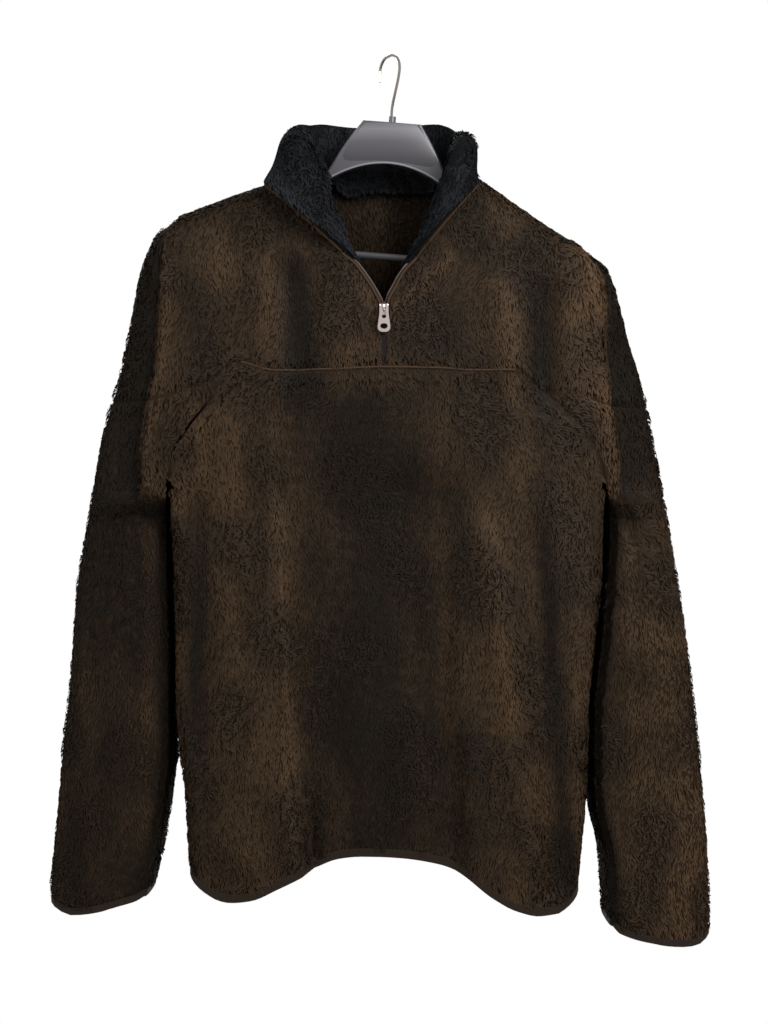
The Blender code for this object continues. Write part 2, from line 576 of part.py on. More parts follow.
def collar_face(p, h):
    """The collar: straight lines from the neck seam to its top edge, bowed out, with its ends lying forward."""
    base, top = neck_line(p), [read(p) for read in collar_top]
    near = np.minimum(p, 1 - p)
    ends, shoulder = ease(1 - near / 0.3), ease(1 - np.abs(near - 0.18) / 0.12)
    rise = COLLAR_GAP + (1 - COLLAR_GAP) * h
    bow = np.sin(np.pi * h)
    draw_in = 0.02 * (1 - ends)
    base = (base[0] + (ZIP_X - base[0]) * draw_in, base[1] * (1 - draw_in), base[2])
    x, y, z = (b + (t - b) * rise for b, t in zip(base, top))
    forward = (1.6 + 10 * bow) * ends + (1.0 + 15 * bow) * shoulder
    return x, y - forward + 3 * bow * (1 - ends) * np.sin(np.pi * p), z + (0.6 + 7 * bow) * shoulder


def build_collar():
    """Stand collar: brown cloth outside, black lining inside it."""
    ps, hs = np.linspace(0, 1, 25), [0, 0.25, 0.5, 0.75, 1]
    grid_mesh("collar", [(collar_face, ps, hs, True)], wall=3.4, material=BROWN)
    grid_mesh("collar_lining", [(collar_face, ps, hs, True)], wall=3.4, material=BLACK, depth=3.8)


def build_tape(side):
    """Zip tape: a flat strip just beyond the yoke's edge, in the middle of the wall, up to the neck seam."""
    s = SIDES[side]

    def edge(v):
        z = TAPE_LOW + (NECK_FRONT[side] - 2 - TAPE_LOW) * np.clip(v, 0, 1)
        x = s * edge_x[side](z)
        return np.stack([x, front_y(x, z), z], -1)

    def strip(u, v):
        along = edge(v + 0.01) - edge(v - 0.01)
        away = np.stack([along[..., 2], 0 * v, -along[..., 0]], -1)
        away /= np.linalg.norm(away, axis=-1, keepdims=True)
        place = edge(v) - s * away * (TAPE_GAP + TAPE_SHOWS * u)[..., None]
        return place[..., 0], place[..., 1] + 2.2, place[..., 2]
    vs = [0, 0.25, 0.5, 0.58, 0.66, 0.74, 0.82, 0.9, 1]
    grid_mesh("zip_tape_" + side, [(strip, [0, 1], vs, side == "right")], wall=1.2, material=TAPE)


def box(name, size, place, bevel, material):
    """A block with rounded edges, its size and centre in millimetres."""
    bpy.ops.mesh.primitive_cube_add(size=1)
    item = bpy.context.object
    item.name = name
    item.data.transform(Matrix.Diagonal((*(c * MM for c in size), 1)))
    item.location = [c * MM for c in place]
    item.data.materials.append(material)
    rounding = item.modifiers.new("edges", "BEVEL")
    rounding.width, rounding.segments = bevel * MM, 2
    move_in(item)
    return item


def move_in(item):
    for owner in list(item.users_collection):
        owner.objects.unlink(item)
    part_collection.objects.link(item)


def curve_object(name, kind, material):
    """An empty curve object in the part's collection; kind is 2D for an outline or 3D for a wire."""
    curve = bpy.data.curves.new(name, "CURVE")
    curve.dimensions = kind
    item = bpy.data.objects.new(name, curve)
    part_collection.objects.link(item)
    curve.materials.append(material)
    return item


def outline(item, points):
    """One closed straight-sided spline of a flat outline, in millimetres."""
    spline = item.data.splines.new("POLY")
    spline.points.add(len(points) - 1)
    for point, (x, y) in zip(spline.points, points):
        point.co = (x * MM, y * MM, 0, 1)
    spline.use_cyclic_u = True


def oval(centre, half_x, half_y, count=16, power=2.0):
    """Points of a superellipse round a centre."""
    turn = np.linspace(0, 2 * np.pi, count, endpoint=False)
    c, s = np.cos(turn), np.sin(turn)
    return list(zip(centre[0] + half_x * np.sign(c) * np.abs(c) ** (2 / power),
                    centre[1] + half_y * np.sign(s) * np.abs(s) ** (2 / power)))


def build_zip():
    """Closed chain, slider with its bail, and the pull tab that hangs from the bail's crossbar."""
    face = float(front_y(ZIP_X, SLIDER_Z))
    low_face = float(front_y(ZIP_X, CHAIN_Z))
    box("zip_chain", (3.2, 3.0, 46.0), (ZIP_X, low_face - 0.6, CHAIN_Z), 0.6, METAL)
    box("zip_slider", (9.0, 4.6, 11.6), (ZIP_X, face - 0.9, SLIDER_Z), 1.2, METAL)
    slider_face = face - 3.2
    hinge = (ZIP_X, slider_face - 2.3, PULL_HINGE_Z)
    bail = curve_object("zip_bail", "3D", METAL)
    spline = bail.data.splines.new("POLY")
    turn = np.linspace(0, np.pi, 9)
    arch = [(ZIP_X, slider_face - 0.35 - 4.0 * math.sin(t), hinge[2] - 0.3 + 3.9 * math.cos(t)) for t in turn]
    spline.points.add(len(arch) - 1)
    for point, place in zip(spline.points, arch):
        point.co = (*(c * MM for c in place), 1)
    bail.data.bevel_depth, bail.data.bevel_resolution, bail.data.use_fill_caps = 0.7 * MM, 2, True
    pull = curve_object("zip_pull", "2D", METAL)
    outline(pull, [(-3.6, 1.0), (3.6, 1.0), (4.25, 0.3), (4.3, -6), (5.0, -12), (6.0, -18), (6.0, -21), (4.8, -23.4),
                   (2.4, -24.6), (-2.4, -24.6), (-4.8, -23.4), (-6.0, -21), (-6.0, -18), (-5.0, -12), (-4.3, -6),
                   (-4.25, 0.3)])
    outline(pull, [(-2.0, -0.9), (-2.0, -10.4), (-1.2, -11.4), (1.2, -11.4), (2.0, -10.4), (2.0, -0.9)])
    outline(pull, oval((0, -19.0), 3.6, 2.7))
    pull.data.fill_mode, pull.data.extrude = "BOTH", 0.75 * MM
    pull.location = [c * MM for c in hinge]
    pull.rotation_euler = (math.pi / 2, 0, 0)


def build_hanger():
    """Hanger: moulded body with a crown, a trouser bar between its ends, a socket and the wire hook."""
    frame = bpy.data.objects.new("hanger_frame", None)
    part_collection.objects.link(frame)
    frame.location, frame.rotation_euler = (4 * MM, 0, -65.6 * MM), (0, TILT, 0)
    body = curve_object("hanger_body", "2D", PLASTIC)
    half = [(0, 0), (29, 0), (61, -54), (100, -74.5), (150, -97.9), (192, -117.8), (198, -124), (198, -139),
            (190, -139), (190, -128), (150, -108), (100, -86), (80, -76), (60, -62), (44, -52.5), (24, -44.5),
            (0, -41.4)]
    outline(body, half + [(-x, z) for x, z in half[-2:0:-1]])
    body.data.fill_mode, body.data.extrude = "BOTH", 4.0 * MM
    body.data.bevel_depth, body.data.bevel_resolution = 1.8 * MM, 1
    body.data.offset = -1.8 * MM
    body.rotation_euler, body.parent = (math.pi / 2, 0, 0), frame
    bpy.ops.mesh.primitive_cylinder_add(vertices=16, radius=3.5 * MM, depth=2 * 189.7 * MM,
                                        location=(0, 0, -133.8 * MM), rotation=(0, math.pi / 2, 0))
    bar = bpy.context.object
    bar.name, bar.parent = "hanger_bar", frame
    bar.data.materials.append(PLASTIC)
    move_in(bar)
    bpy.ops.mesh.primitive_cylinder_add(vertices=16, radius=3.6 * MM, depth=6 * MM, location=(0, 0, 3.3 * MM))
    socket = bpy.context.object
    socket.name, socket.parent = "hook_socket", frame
    socket.data.materials.append(PLASTIC)
    move_in(socket)
    hook = curve_object("hanger_hook", "3D", STEEL)
    route = [(3.5, 0, -58.6), (3.8, -1, -50), (7, -9, -38), (10.5, -15, -24), (12, -16.5, -12), (9, -13, -3),
             (4, -6, 0.8), (0, 0, 1.4), (-4, 7, 0.6), (-7.5, 13, -5), (-8.5, 15.5, -13), (-8, 15, -20)]
    spline = hook.data.splines.new("NURBS")
    spline.points.add(len(route) - 1)
    for point, place in zip(spline.points, route):
        point.co = (*(c * MM for c in place), 1)
    spline.use_endpoint_u, spline.order_u, spline.resolution_u = True, 3, 3
    hook.data.bevel_depth, hook.data.bevel_resolution, hook.data.use_fill_caps = 1.4 * MM, 2, True


back_flat = build_back()
for side in SIDES:
    build_yoke(side)
    build_sleeve(side)
    build_tape(side)
TURN_ROUND = [0, 0.1, 0.2, 0.3, 0.5, 0.7, 0.8, 0.9, 1.0]


def full_strip(side):
    """The two half strips of a side as one, without the side seam's gap."""
    front, back = side_strip(side, True), side_strip(side, False)

    def surface(u, v, band=HEM_BAND):
        near, far = front(2 * u, v, band), back(2 - 2 * u, v, band)
        return tuple(np.where(np.abs(u - 0.5) < 1e-6, (a + b) / 2, np.where(u < 0.5, a, b))
                     for a, b in zip(near, far))
    return surface


build_binding("hem_binding", [
    (front_flat, np.linspace(0, 1, FRONT_COLUMNS), None, False), (back_flat, np.linspace(0, 1, 31), None, True),
    (full_strip("left"), TURN_ROUND, None, True), (full_strip("right"), TURN_ROUND, None, False)], HEM_BAND)
build_collar()
build_zip()
build_hanger()
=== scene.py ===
"""How the quarter-zip pile fleece pullover looks: cloth shells, combed pile, zip, hanger, light and camera.

The cloth follows the same tables as its solids. Each panel is a thin backing a little inside the solid's
outer face, and its pile is one joined mesh of short curved blades combed along the cloth. Sizes are in
millimetres until a mesh is made, then metres, +Z up, with the front towards -Y.
"""
import math

import bmesh
import bpy
import numpy as np
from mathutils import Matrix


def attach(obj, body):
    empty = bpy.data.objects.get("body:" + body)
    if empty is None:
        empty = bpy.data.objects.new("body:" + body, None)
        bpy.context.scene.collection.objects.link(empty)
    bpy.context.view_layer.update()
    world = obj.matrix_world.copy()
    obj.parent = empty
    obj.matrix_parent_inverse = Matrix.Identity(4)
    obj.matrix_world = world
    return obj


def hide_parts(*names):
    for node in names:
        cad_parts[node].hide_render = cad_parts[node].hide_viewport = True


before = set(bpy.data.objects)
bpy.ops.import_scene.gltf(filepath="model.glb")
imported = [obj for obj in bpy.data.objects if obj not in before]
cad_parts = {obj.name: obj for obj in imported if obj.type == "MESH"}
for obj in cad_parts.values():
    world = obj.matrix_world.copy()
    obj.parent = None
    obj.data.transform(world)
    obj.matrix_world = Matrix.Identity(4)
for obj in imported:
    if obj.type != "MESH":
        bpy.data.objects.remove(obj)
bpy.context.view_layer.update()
rng = np.random.default_rng(11)

MM = 0.001
SLEEVE_GAP = 0.1    # between the yoke's lower seam and the sleeve
FRONT_COLUMNS = 31  # points across the front panel
WELD = 0.05         # points of neighbouring patches closer than this are one
ZIP_X = -4.0        # the zip's line
SLIDER_Z = -259.6   # middle of the slider
TOP_ROUND = 28.0    # height over which the cloth rounds over the shoulder
UNDERARM_Z = -432.0
TIP_Z = {"left": -176.0, "right": -204.0}   # end of the shoulder
SLEEVE_TOP_Z = {"left": -341.0, "right": -348.0}   # the sleeve's upper seam on the front of the arm
CORNER = 22.0       # radius of the body's front and back corners
CORNER_UNDER_ARM = 6.0
LOWEST = -800.0     # height at which the body's side line is read for the hem
SIDE_SEAM_X = 197.0   # outward place at which the front hem is read for the side seam
ARC_SHARE = 0.6     # share of a side strip that is its round corner
STRIP_COLUMNS = [0, 0.2, 0.4, ARC_SHARE, 1.0]
STRIP_ROWS = np.linspace(0, 1, 12)
CUFF_LEVEL = -850.0   # height at which the arm's section is read for the cuff
FOLD_FLAT = 8.0     # from the arm's point 1 out to the fold edge
TILT = math.radians(4.4)   # of the hanger
HEM_BAND = 8.0      # height of the hem's binding
CUFF_BAND = 7.0     # height of a cuff's binding

# height, outermost line, front fold edge, inner line of the arm
ARM = {
    "left": [(-165, 220, 206, 190), (-178, 232, 214, 198), (-195, 240, 219, 203), (-220, 249, 221, 206),
             (-265, 258, 224, 210), (-311, 267, 229, 214), (-340, 275, 235, 216), (-381, 287, 242, 216),
             (-412, 293, 244, 216), (-432, 296, 243, 216), (-462, 301, 242, 218), (-529, 312, 238, 217),
             (-633, 320, 238, 215), (-698, 327, 240, 215), (-724, 329, 243, 218), (-789, 335, 252, 229),
             (-826, 338, 258, 237), (-850, 337, 262, 240)],
    "right": [(-188, 198, 186, 172), (-200, 207, 193, 178), (-213, 219, 200, 184), (-240, 229, 208, 192),
              (-290, 243, 211, 196), (-330, 255, 215, 200), (-362, 261, 221, 205), (-400, 269, 226, 211),
              (-428, 274, 226, 214), (-440, 276, 225, 215), (-470, 282, 232, 217), (-508, 288, 238, 216),
              (-577, 299, 236, 210), (-664, 309, 232, 202), (-734, 316, 234, 203), (-803, 321, 246, 216),
              (-862, 322, 252, 219), (-885, 321, 254, 219)],
}
# height, depth of the crease behind the fold edge, front and back depth of the arm, back of the arm
ARM_DEPTH = [(-165, 5, 30, 30), (-200, 9, 36, 34), (-260, 18, 42, 40), (-340, 26, 46, 44), (-405, 28, 46, 46),
             (-432, 26, 44, 46), (-446, 8, 30, 44), (-470, 2, 24, 38), (-540, 2, 24, 34), (-700, 2, 24, 34),
             (-890, 2, 23, 33)]
# height, body side line on the left, on the right, depth at the front corner, at the front middle, back
BODY = [(-150, 216, 213, 44, 52, 44), (-240, 216, 213, 48, 55, 50), (-314, 216, 213, 48, 58, 52),
        (-417, 216, 211, 47, 62, 54), (-432, 213, 211, 46, 62, 54), (-501, 211, 210, 46, 66, 55),
        (-579, 209, 203, 47, 70, 56), (-640, 209, 197, 47, 72, 56), (-684, 206, 195, 47, 74, 56),
        (-721, 199, 194, 47, 75, 56), (-769, 196, 190, 47, 76, 56), (-850, 191, 182, 46, 76, 55)]
# X, height of the shoulder ridge
RIDGE = [(-232, -178), (-222, -169), (-206, -161), (-160, -142), (-122, -129), (-70, -110), (-10, -98),
         (52, -102), (95, -126), (120, -143), (163, -172), (206, -199), (219, -212)]
# X, height of the yoke's lower seam
YOKE_SEAM = [(-290, -348), (-233, -342), (-202, -336), (-180, -331), (-158, -321), (-145, -309),
             (-110, -317), (-55, -316), (-4, -314), (51, -315), (80, -317), (119, -317), (133, -323),
             (152, -337), (174, -337), (198, -342), (212, -347), (270, -352)]
# X, height of the front hem
FRONT_HEM = [(-216, -782), (-195, -790), (-190, -799), (-181, -815), (-169, -827), (-154, -830),
             (-132, -827), (-104, -814), (-76, -800), (-49, -788), (-25, -785), (12, -787), (49, -793),
             (75, -804), (98, -822), (124, -837), (147, -843), (165, -842), (176, -832), (184, -815),
             (210, -800)]
# X, height of the back hem
BACK_HEM = [(-216, -782), (-195, -790), (-120, -804), (0, -806), (120, -810), (184, -815), (210, -800)]
# height, outward place of the front armhole seam
ARMHOLE = {
    "left": [(-321, 157), (-345, 172), (-367, 192), (-386, 205), (-402, 212), (-432, 216)],
    "right": [(-337, 152), (-360, 175), (-380, 193), (-398, 205), (-413, 209), (-432, 213)],
}
# outward place, height of the cuff's edge
CUFF = {
    "left": [(225, -818), (236, -824), (242, -834), (268, -844), (300, -853), (316, -855), (332, -849),
             (340, -842)],
    "right": [(214, -856), (220, -862), (228, -870), (258, -880), (299, -886), (313, -884), (322, -876)],
}
# height, outward place of the zip edge, then of the neck seam up to the shoulder
FRONT_EDGE = {
    "left": [(-330, 8.6), (-254, 8.6), (-244, 13), (-231, 21), (-215, 33), (-204, 45), (-175, 56), (-145, 64),
             (-122, 69), (-108, 70)],
    "right": [(-330, 0.6), (-254, 0.6), (-237, 8), (-223, 16), (-208, 29), (-175, 44), (-145, 54),
              (-122, 64), (-105, 67)],
}
NECK_SHARE = 0.27    # share of the collar's length from each front end to the shoulder
NECK_FRONT = {"left": -204.0, "right": -208.0}
BACK_NECK_DROP = 19.0
TAPE_LOW = -313.0    # its lower end, just above the yoke's seam
# share of the way round from the left front corner, X, Y, height of the collar's top edge
COLLAR_TOP = [(0.0, -119, -63, -141), (0.10, -108, -52, -118), (0.19, -99, -22, -88), (0.28, -86, 8, -68),
              (0.36, -66, 34, -60), (0.43, -38, 52, -59), (0.5, -4, 60, -58), (0.57, 36, 54, -56),
              (0.64, 56, 36, -59), (0.72, 72, 8, -74), (0.81, 81, -22, -93), (0.90, 85, -50, -118),
              (1.0, 87, -63, -141)]
# X at the top, X at the bottom, top and bottom height, half width, height towards the viewer
FRONT_FOLDS = [(-94, -86, -215, -330, 13, -6), (152, 150, -235, -345, 12, -7), (106, 118, -222, -330, 16, 4),
               (-180, -184, -450, -690, 13, -7), (90, 140, -470, -800, 15, 6), (138, 160, -470, -830, 13, -6),
               (-74, -70, -740, -840, 6, -5), (-40, -52, -200, -300, 20, 3), (20, 8, -420, -640, 24, -4),
               (-28, -22, -520, -800, 18, 3)]
BACK_FOLDS = [(-120, -130, -330, -810, 20, -6), (-60, -52, -420, -810, 22, 6), (30, 40, -260, -810, 24, -6),
              (105, 118, -400, -810, 20, 6), (165, 168, -430, -810, 14, -5), (-20, -12, -150, -420, 26, -4)]
# height, X of the left and right edges of the recessed middle of the front, its depth
RECESS = [(-340, -110, 60, 0), (-400, -108, 61, 3), (-545, -107, 63, 10), (-668, -98, 65, 13),
          (-729, -89, 70, 14), (-775, -79, 72, 15), (-850, -72, 73, 15)]


def table(rows, column, key=0):
    """A smooth function read from one column of a table: cubic Hermite pieces whose slopes are limited."""
    rows = sorted(rows, key=lambda row: row[key])
    at = np.array([row[key] for row in rows], float)
    value = np.array([row[column] for row in rows], float)
    step = np.diff(at)
    slope = np.diff(value) / step
    product = slope[:-1] * slope[1:]
    middle = np.where(product > 0, 2 * product / (slope[:-1] + slope[1:] + 1e-12), 0)
    tangent = np.concatenate([[slope[0]], middle, [slope[-1]]])

    def read(x):
        """The cubic between the two rows on either side of x."""
        x = np.clip(x, at[0], at[-1])
        k = np.clip(np.searchsorted(at, x) - 1, 0, len(step) - 1)
        t = (x - at[k]) / step[k]
        return ((1 + 2 * t) * (1 - t) ** 2 * value[k] + t * (1 - t) ** 2 * step[k] * tangent[k]
                + t * t * (3 - 2 * t) * value[k + 1] + t * t * (t - 1) * step[k] * tangent[k + 1])
    return read


SIDES = {"left": -1, "right": 1}
outer_x = {s: table(ARM[s], 1) for s in SIDES}
fold_x = {s: table(ARM[s], 2) for s in SIDES}
inner_x = {s: table(ARM[s], 3) for s in SIDES}
crease, arm_front, arm_back = (table(ARM_DEPTH, c) for c in (1, 2, 3))
side_x = {"left": table(BODY, 1), "right": table(BODY, 2)}
corner_y, middle_y, back_y = (table(BODY, c) for c in (3, 4, 5))
ridge, yoke_seam = table(RIDGE, 1), table(YOKE_SEAM, 1)
front_hem, back_hem = table(FRONT_HEM, 1), table(BACK_HEM, 1)
armhole_x = {s: table(ARMHOLE[s], 1) for s in SIDES}
cuff_z = {s: table(CUFF[s], 1) for s in SIDES}
edge_x = {s: table(FRONT_EDGE[s], 1) for s in SIDES}
recess_left, recess_right, recess_depth = (table(RECESS, c) for c in (1, 2, 3))


def ease(t):
    """A soft step from 0 to 1: 3 t squared less 2 t cubed."""
    t = np.clip(t, 0, 1)
    return t * t * (3 - 2 * t)


def part_of(v, low, high):
    """How far v has come from low (0) to high (1)."""
    return np.clip((v - low) / (high - low), 0, 1)


def lines(x, z, rows, end=40):
    """Sum of soft ridges and troughs, each a bell across its line and faded over its two ends."""
    total = 0 * x
    for x_top, x_low, top, low, half, height in rows:
        along = np.clip((top - z) / (top - low), 0, 1)
        line = x_top + (x_low - x_top) * along
        fade = ease((top - z) / end + 0.5) * ease((z - low) / end + 0.5)
        total = total + height * np.exp(-((x - line) / half) ** 2) * fade
    return total


def hanging(z):
    """How free of the body the arm is: 0 down to the underarm, 1 from 30 mm below it."""
    return ease((UNDERARM_Z - z) / 30)


def from_middle(x, z):
    """How far X lies from the body's middle (0) to its side line (1)."""
    return np.clip(np.where(x < 0, -x / side_x["left"](z), x / side_x["right"](z)), 0, 1)


def front_y(x, z):
    """The front's depth: a shallow crown between its corners, with the folds and the recessed middle."""
    share = from_middle(x, z)
    crown = (1 - share ** 3) * (middle_y(z) - corner_y(z))
    recess = recess_depth(z) * ease((x - recess_left(z)) / 16 + 0.5) * ease((recess_right(z) - x) / 22 + 0.5)
    calm = ease((1 - share) / 0.12)
    return -(corner_y(z) + crown + (lines(x, z, FRONT_FOLDS) - recess) * calm)


def rear_y(x, z):
    """The back's depth: flat, with soft folds that fade at the side seams."""
    share = from_middle(x, z)
    return back_y(z) - 6 * share ** 3 + lines(x, z, BACK_FOLDS) * ease((1 - share) / 0.12)


def chain(side, a, z):
    """The arm's section: a smooth curve through seven points, from the front (1) round to the back (7)."""
    s = SIDES[side]
    fold, out, inner = fold_x[side](z), outer_x[side](z), inner_x[side](z)
    deep = crease(z)
    hang = hanging(z)
    x1 = (fold - FOLD_FLAT) * (1 - hang) + (inner + 9) * hang
    body_front = front_y(s * x1, z) * (1 - hang) - arm_front(z) * hang
    body_back = rear_y(s * inner, z) * (1 - hang) + arm_back(z) * hang
    front = body_front + deep
    width = out - fold
    bend = fold + 0.35 * width
    first = (fold - 0.05 * deep) * (1 - hang) + (x1 + 0.33 * (bend - x1)) * hang
    second = (fold - 0.14 * deep) * (1 - hang) + (x1 + 0.67 * (bend - x1)) * hang
    points = [(x1 - 14, body_front), (x1, body_front), (first, body_front + 0.28 * deep),
              (second, body_front + 0.84 * deep), (bend, front + 1), (out, 0 * z),
              (out - 0.45 * width, 0.75 * body_back), (inner, body_back), (inner - 16, 0.75 * body_back)]
    k = np.clip(np.floor(a).astype(int), 1, 6)
    t = a - k
    xs, ys = (np.stack([np.broadcast_to(p[i], np.shape(t)) for p in points]) for i in (0, 1))

    def blend(v):
        """Catmull-Rom spline through four neighbouring points."""
        p, q, r, w = (np.take_along_axis(v, (k + j)[None], 0)[0] for j in (-1, 0, 1, 2))
        square = 2 * q + (r - p) * t + (2 * p - 5 * q + 4 * r - w) * t * t
        return 0.5 * (square + (3 * q - p - 3 * r + w) * t ** 3)
    return blend(xs) * s, blend(ys)


def over(q):
    """How far down and how far out the cloth is after going q quarter turns over the ridge."""
    turn = np.clip(q, 0, 1) * np.pi / 2
    drop = TOP_ROUND * (1 - np.cos(turn)) + np.maximum(q - 1, 0) * TOP_ROUND * np.pi / 2
    return drop, np.sin(turn)


def turns(drop):
    """The inverse of over: the quarter turns that reach a drop below the ridge."""
    near = np.arccos(np.clip(1 - drop / TOP_ROUND, -1, 1)) * 2 / np.pi
    return np.where(drop < TOP_ROUND, near, 1 + (drop - TOP_ROUND) / (TOP_ROUND * np.pi / 2))


def chain_top(side, a):
    """Height of the shoulder's end above each point of the arm's section, falling to the tip at point 5."""
    s = SIDES[side]
    near = np.where(a < 5, ridge(s * front_top_x(side)), ridge(s * back_top_x(side)))
    reach = np.where(a < 5, (a - 1) / 4, (7 - a) / 2)
    return near + (TIP_Z[side] - near) * np.clip(reach, 0, 1) ** 1.3


def front_top_x(side):
    """Outward place of the fold edge's flat where the shoulder ends."""
    return fold_x[side](TIP_Z[side] + 12) - FOLD_FLAT


def back_top_x(side):
    """Outward place of the arm's inner line where the shoulder ends."""
    return inner_x[side](TIP_Z[side] + 14)


def chain_low(side, a):
    """Height of the seam between the yoke or the back above and the sleeve below."""
    return yoke_seam(SIDES[side] * chain_x1(side)) - 1.5 * (a - 1)


def chain_x1(side):
    """Outward place of the arm's point 1 at the yoke's seam."""
    return fold_x[side](SLEEVE_TOP_Z[side]) - FOLD_FLAT


def corner_at(side, low):
    """Outward place and radius of the body's round corner, a share of the way from hem to underarm."""
    radius = CORNER + (CORNER_UNDER_ARM - CORNER) * ease((low - 0.8) / 0.2)
    return side_x[side](LOWEST + (UNDERARM_Z - LOWEST) * low) - radius, radius


def front_top(side):
    """Outward place of the front panel's upper corner."""
    return armhole_x[side](ARMHOLE[side][0][0])


def front_patches():
    """Front panel: the flat from armhole to armhole, and a strip round each corner to the side seam."""
    middle_w = 0.62

    def flat(u, v, band=HEM_BAND):
        """Across from edge to edge, and up from the hem past the underarm to the yoke."""
        low, high = part_of(v, 0, middle_w), part_of(v, middle_w, 1)

        def edge(side):
            """The armhole's seam above the underarm, the corner below it."""
            s = SIDES[side]
            y_joint = ARMHOLE[side][0][0]
            z_edge = UNDERARM_Z + (y_joint - UNDERARM_Z) * high
            seam = armhole_x[side](z_edge)
            corner = corner_at(side, low)[0]
            return s * np.where(v > middle_w, seam, corner)
        left, right = edge("left"), edge("right")
        x = left + (right - left) * u
        bottom = front_hem(x) + band
        ends = [SIDES[side] * front_top(side) for side in SIDES]
        x_seam = x * (1 - high) + (ends[0] + (ends[1] - ends[0]) * u) * high
        top = yoke_seam(x_seam)
        z = bottom + (UNDERARM_Z - bottom) * low + (top - UNDERARM_Z) * high
        return x, front_y(x, z), z

    def strip(side, front):
        """The strip from a corner, round it by a quarter circle, and flat on to the side seam."""
        s = SIDES[side]

        def surface(u, v, band=HEM_BAND):
            """Round from the corner (0) to the side seam (1), and up from the hem to the underarm."""
            x_corner, radius = corner_at(side, v)
            hem = front_hem if front else back_hem
            bottom = hem(s * x_corner) * (1 - u) + front_hem(s * SIDE_SEAM_X) * u + band
            z = bottom + (UNDERARM_Z - bottom) * v
            deep = -front_y(s * x_corner, z) if front else rear_y(s * x_corner, z)
            arc = part_of(u, 0, ARC_SHARE) * np.pi / 2
            rest = part_of(u, ARC_SHARE, 1)
            out = x_corner + radius * np.sin(arc)
            y = (deep - radius) + radius * np.cos(arc) - (deep - radius) * rest
            return s * out, (-y if front else y), z
        return surface
    lows, highs = np.linspace(0, middle_w, 12), np.linspace(middle_w, 1, 5)[1:]
    patches = [(flat, np.linspace(0, 1, FRONT_COLUMNS), [*lows, *highs], False),
               (strip("left", True), STRIP_COLUMNS, STRIP_ROWS, True),
               (strip("right", True), STRIP_COLUMNS, STRIP_ROWS, False)]
    return patches, flat, strip


def back_patches():
    """Back panel: one piece from neck and shoulders to hem, and over the shoulder's end to its seam."""
    low_w, seam_w = 0.5, 0.64

    def shares(v):
        """How far v is up the part under the arm, up to the dropped seam, and over the shoulder."""
        return part_of(v, 0, low_w), part_of(v, low_w, seam_w), part_of(v, seam_w, 1)

    def rows(v, top, seam_z, q_top, bottom):
        """Height and roundness up a column: hem to underarm, to the dropped seam, then over the ridge."""
        low, mid, high = shares(v)
        q_seam = turns(top - seam_z)
        drop, out = over(q_seam + (q_top - q_seam) * high)
        z = np.where(v > seam_w, top - drop, UNDERARM_Z + (seam_z - UNDERARM_Z) * mid)
        return np.where(v > low_w, z, bottom + (UNDERARM_Z - bottom) * low), np.where(v > seam_w, out, 1.0)

    def edge(side, v):
        """The panel's outward edge: the corner under the arm, then the arm's inner line."""
        s = SIDES[side]
        low = shares(v)[0]
        top = ridge(s * back_top_x(side))
        z = rows(v, top, chain_low(side, 7.0), 0.0, 0.0)[0]
        return np.where(v > low_w, inner_x[side](z), corner_at(side, low)[0])

    def flat(u, v, band=HEM_BAND):
        """Across from edge to edge, and up from the hem to the neck."""
        left, right = -edge("left", v), edge("right", v)
        x = left + (right - left) * u
        x_top = -back_top_x("left") + (back_top_x("left") + back_top_x("right")) * u
        seam_z = chain_low("left", 7.0) + (chain_low("right", 7.0) - chain_low("left", 7.0)) * u
        z, out = rows(v, ridge(x_top), seam_z, neck_turns(x_top), back_hem(x) + band)
        return x, rear_y(x, z) * out, z

    def shoulder_end(side):
        """The panel goes on over the shoulder, along the arm from its back point 7 to point 5."""
        def surface(u, v):
            """From the arm's back point 7 (0) to point 5 (1), and up from the seam over the shoulder."""
            a = 7 - 2 * u
            top, seam_z = chain_top(side, a), chain_low(side, a)
            q_seam = turns(top - seam_z)
            drop, out = over(q_seam * (1 - v))
            z = top - drop
            x, y = chain(side, a, z)
            return x, y * out, z
        return surface
    lows, mids = np.linspace(0, low_w, 12), np.linspace(low_w, seam_w, 4)[1:]
    tops = np.array([0.22, 0.42, 0.6, 0.74, 0.84, 0.92, 1])
    patches = [(flat, np.linspace(0, 1, 27), [*lows, *mids, *(seam_w + (1 - seam_w) * tops)], True),
               (side_strip("left", False), STRIP_COLUMNS, STRIP_ROWS, False),
               (side_strip("right", False), STRIP_COLUMNS, STRIP_ROWS, True),
               (shoulder_end("left"), np.linspace(0, 1, 6), [0, *tops], False),
               (shoulder_end("right"), np.linspace(0, 1, 6), [0, *tops], True)]
    return patches, flat


def neck_turns(x):
    """Quarter turns over the ridge at which the back stops: the seam, or the neck's edge between its ends."""
    left, right = FRONT_EDGE["left"][-1][1], FRONT_EDGE["right"][-1][1]
    middle, half = (right - left) / 2, (right + left) / 2
    return turns(BACK_NECK_DROP * (1 - np.clip(np.abs(x - middle) / half, 0, 1) ** 4))


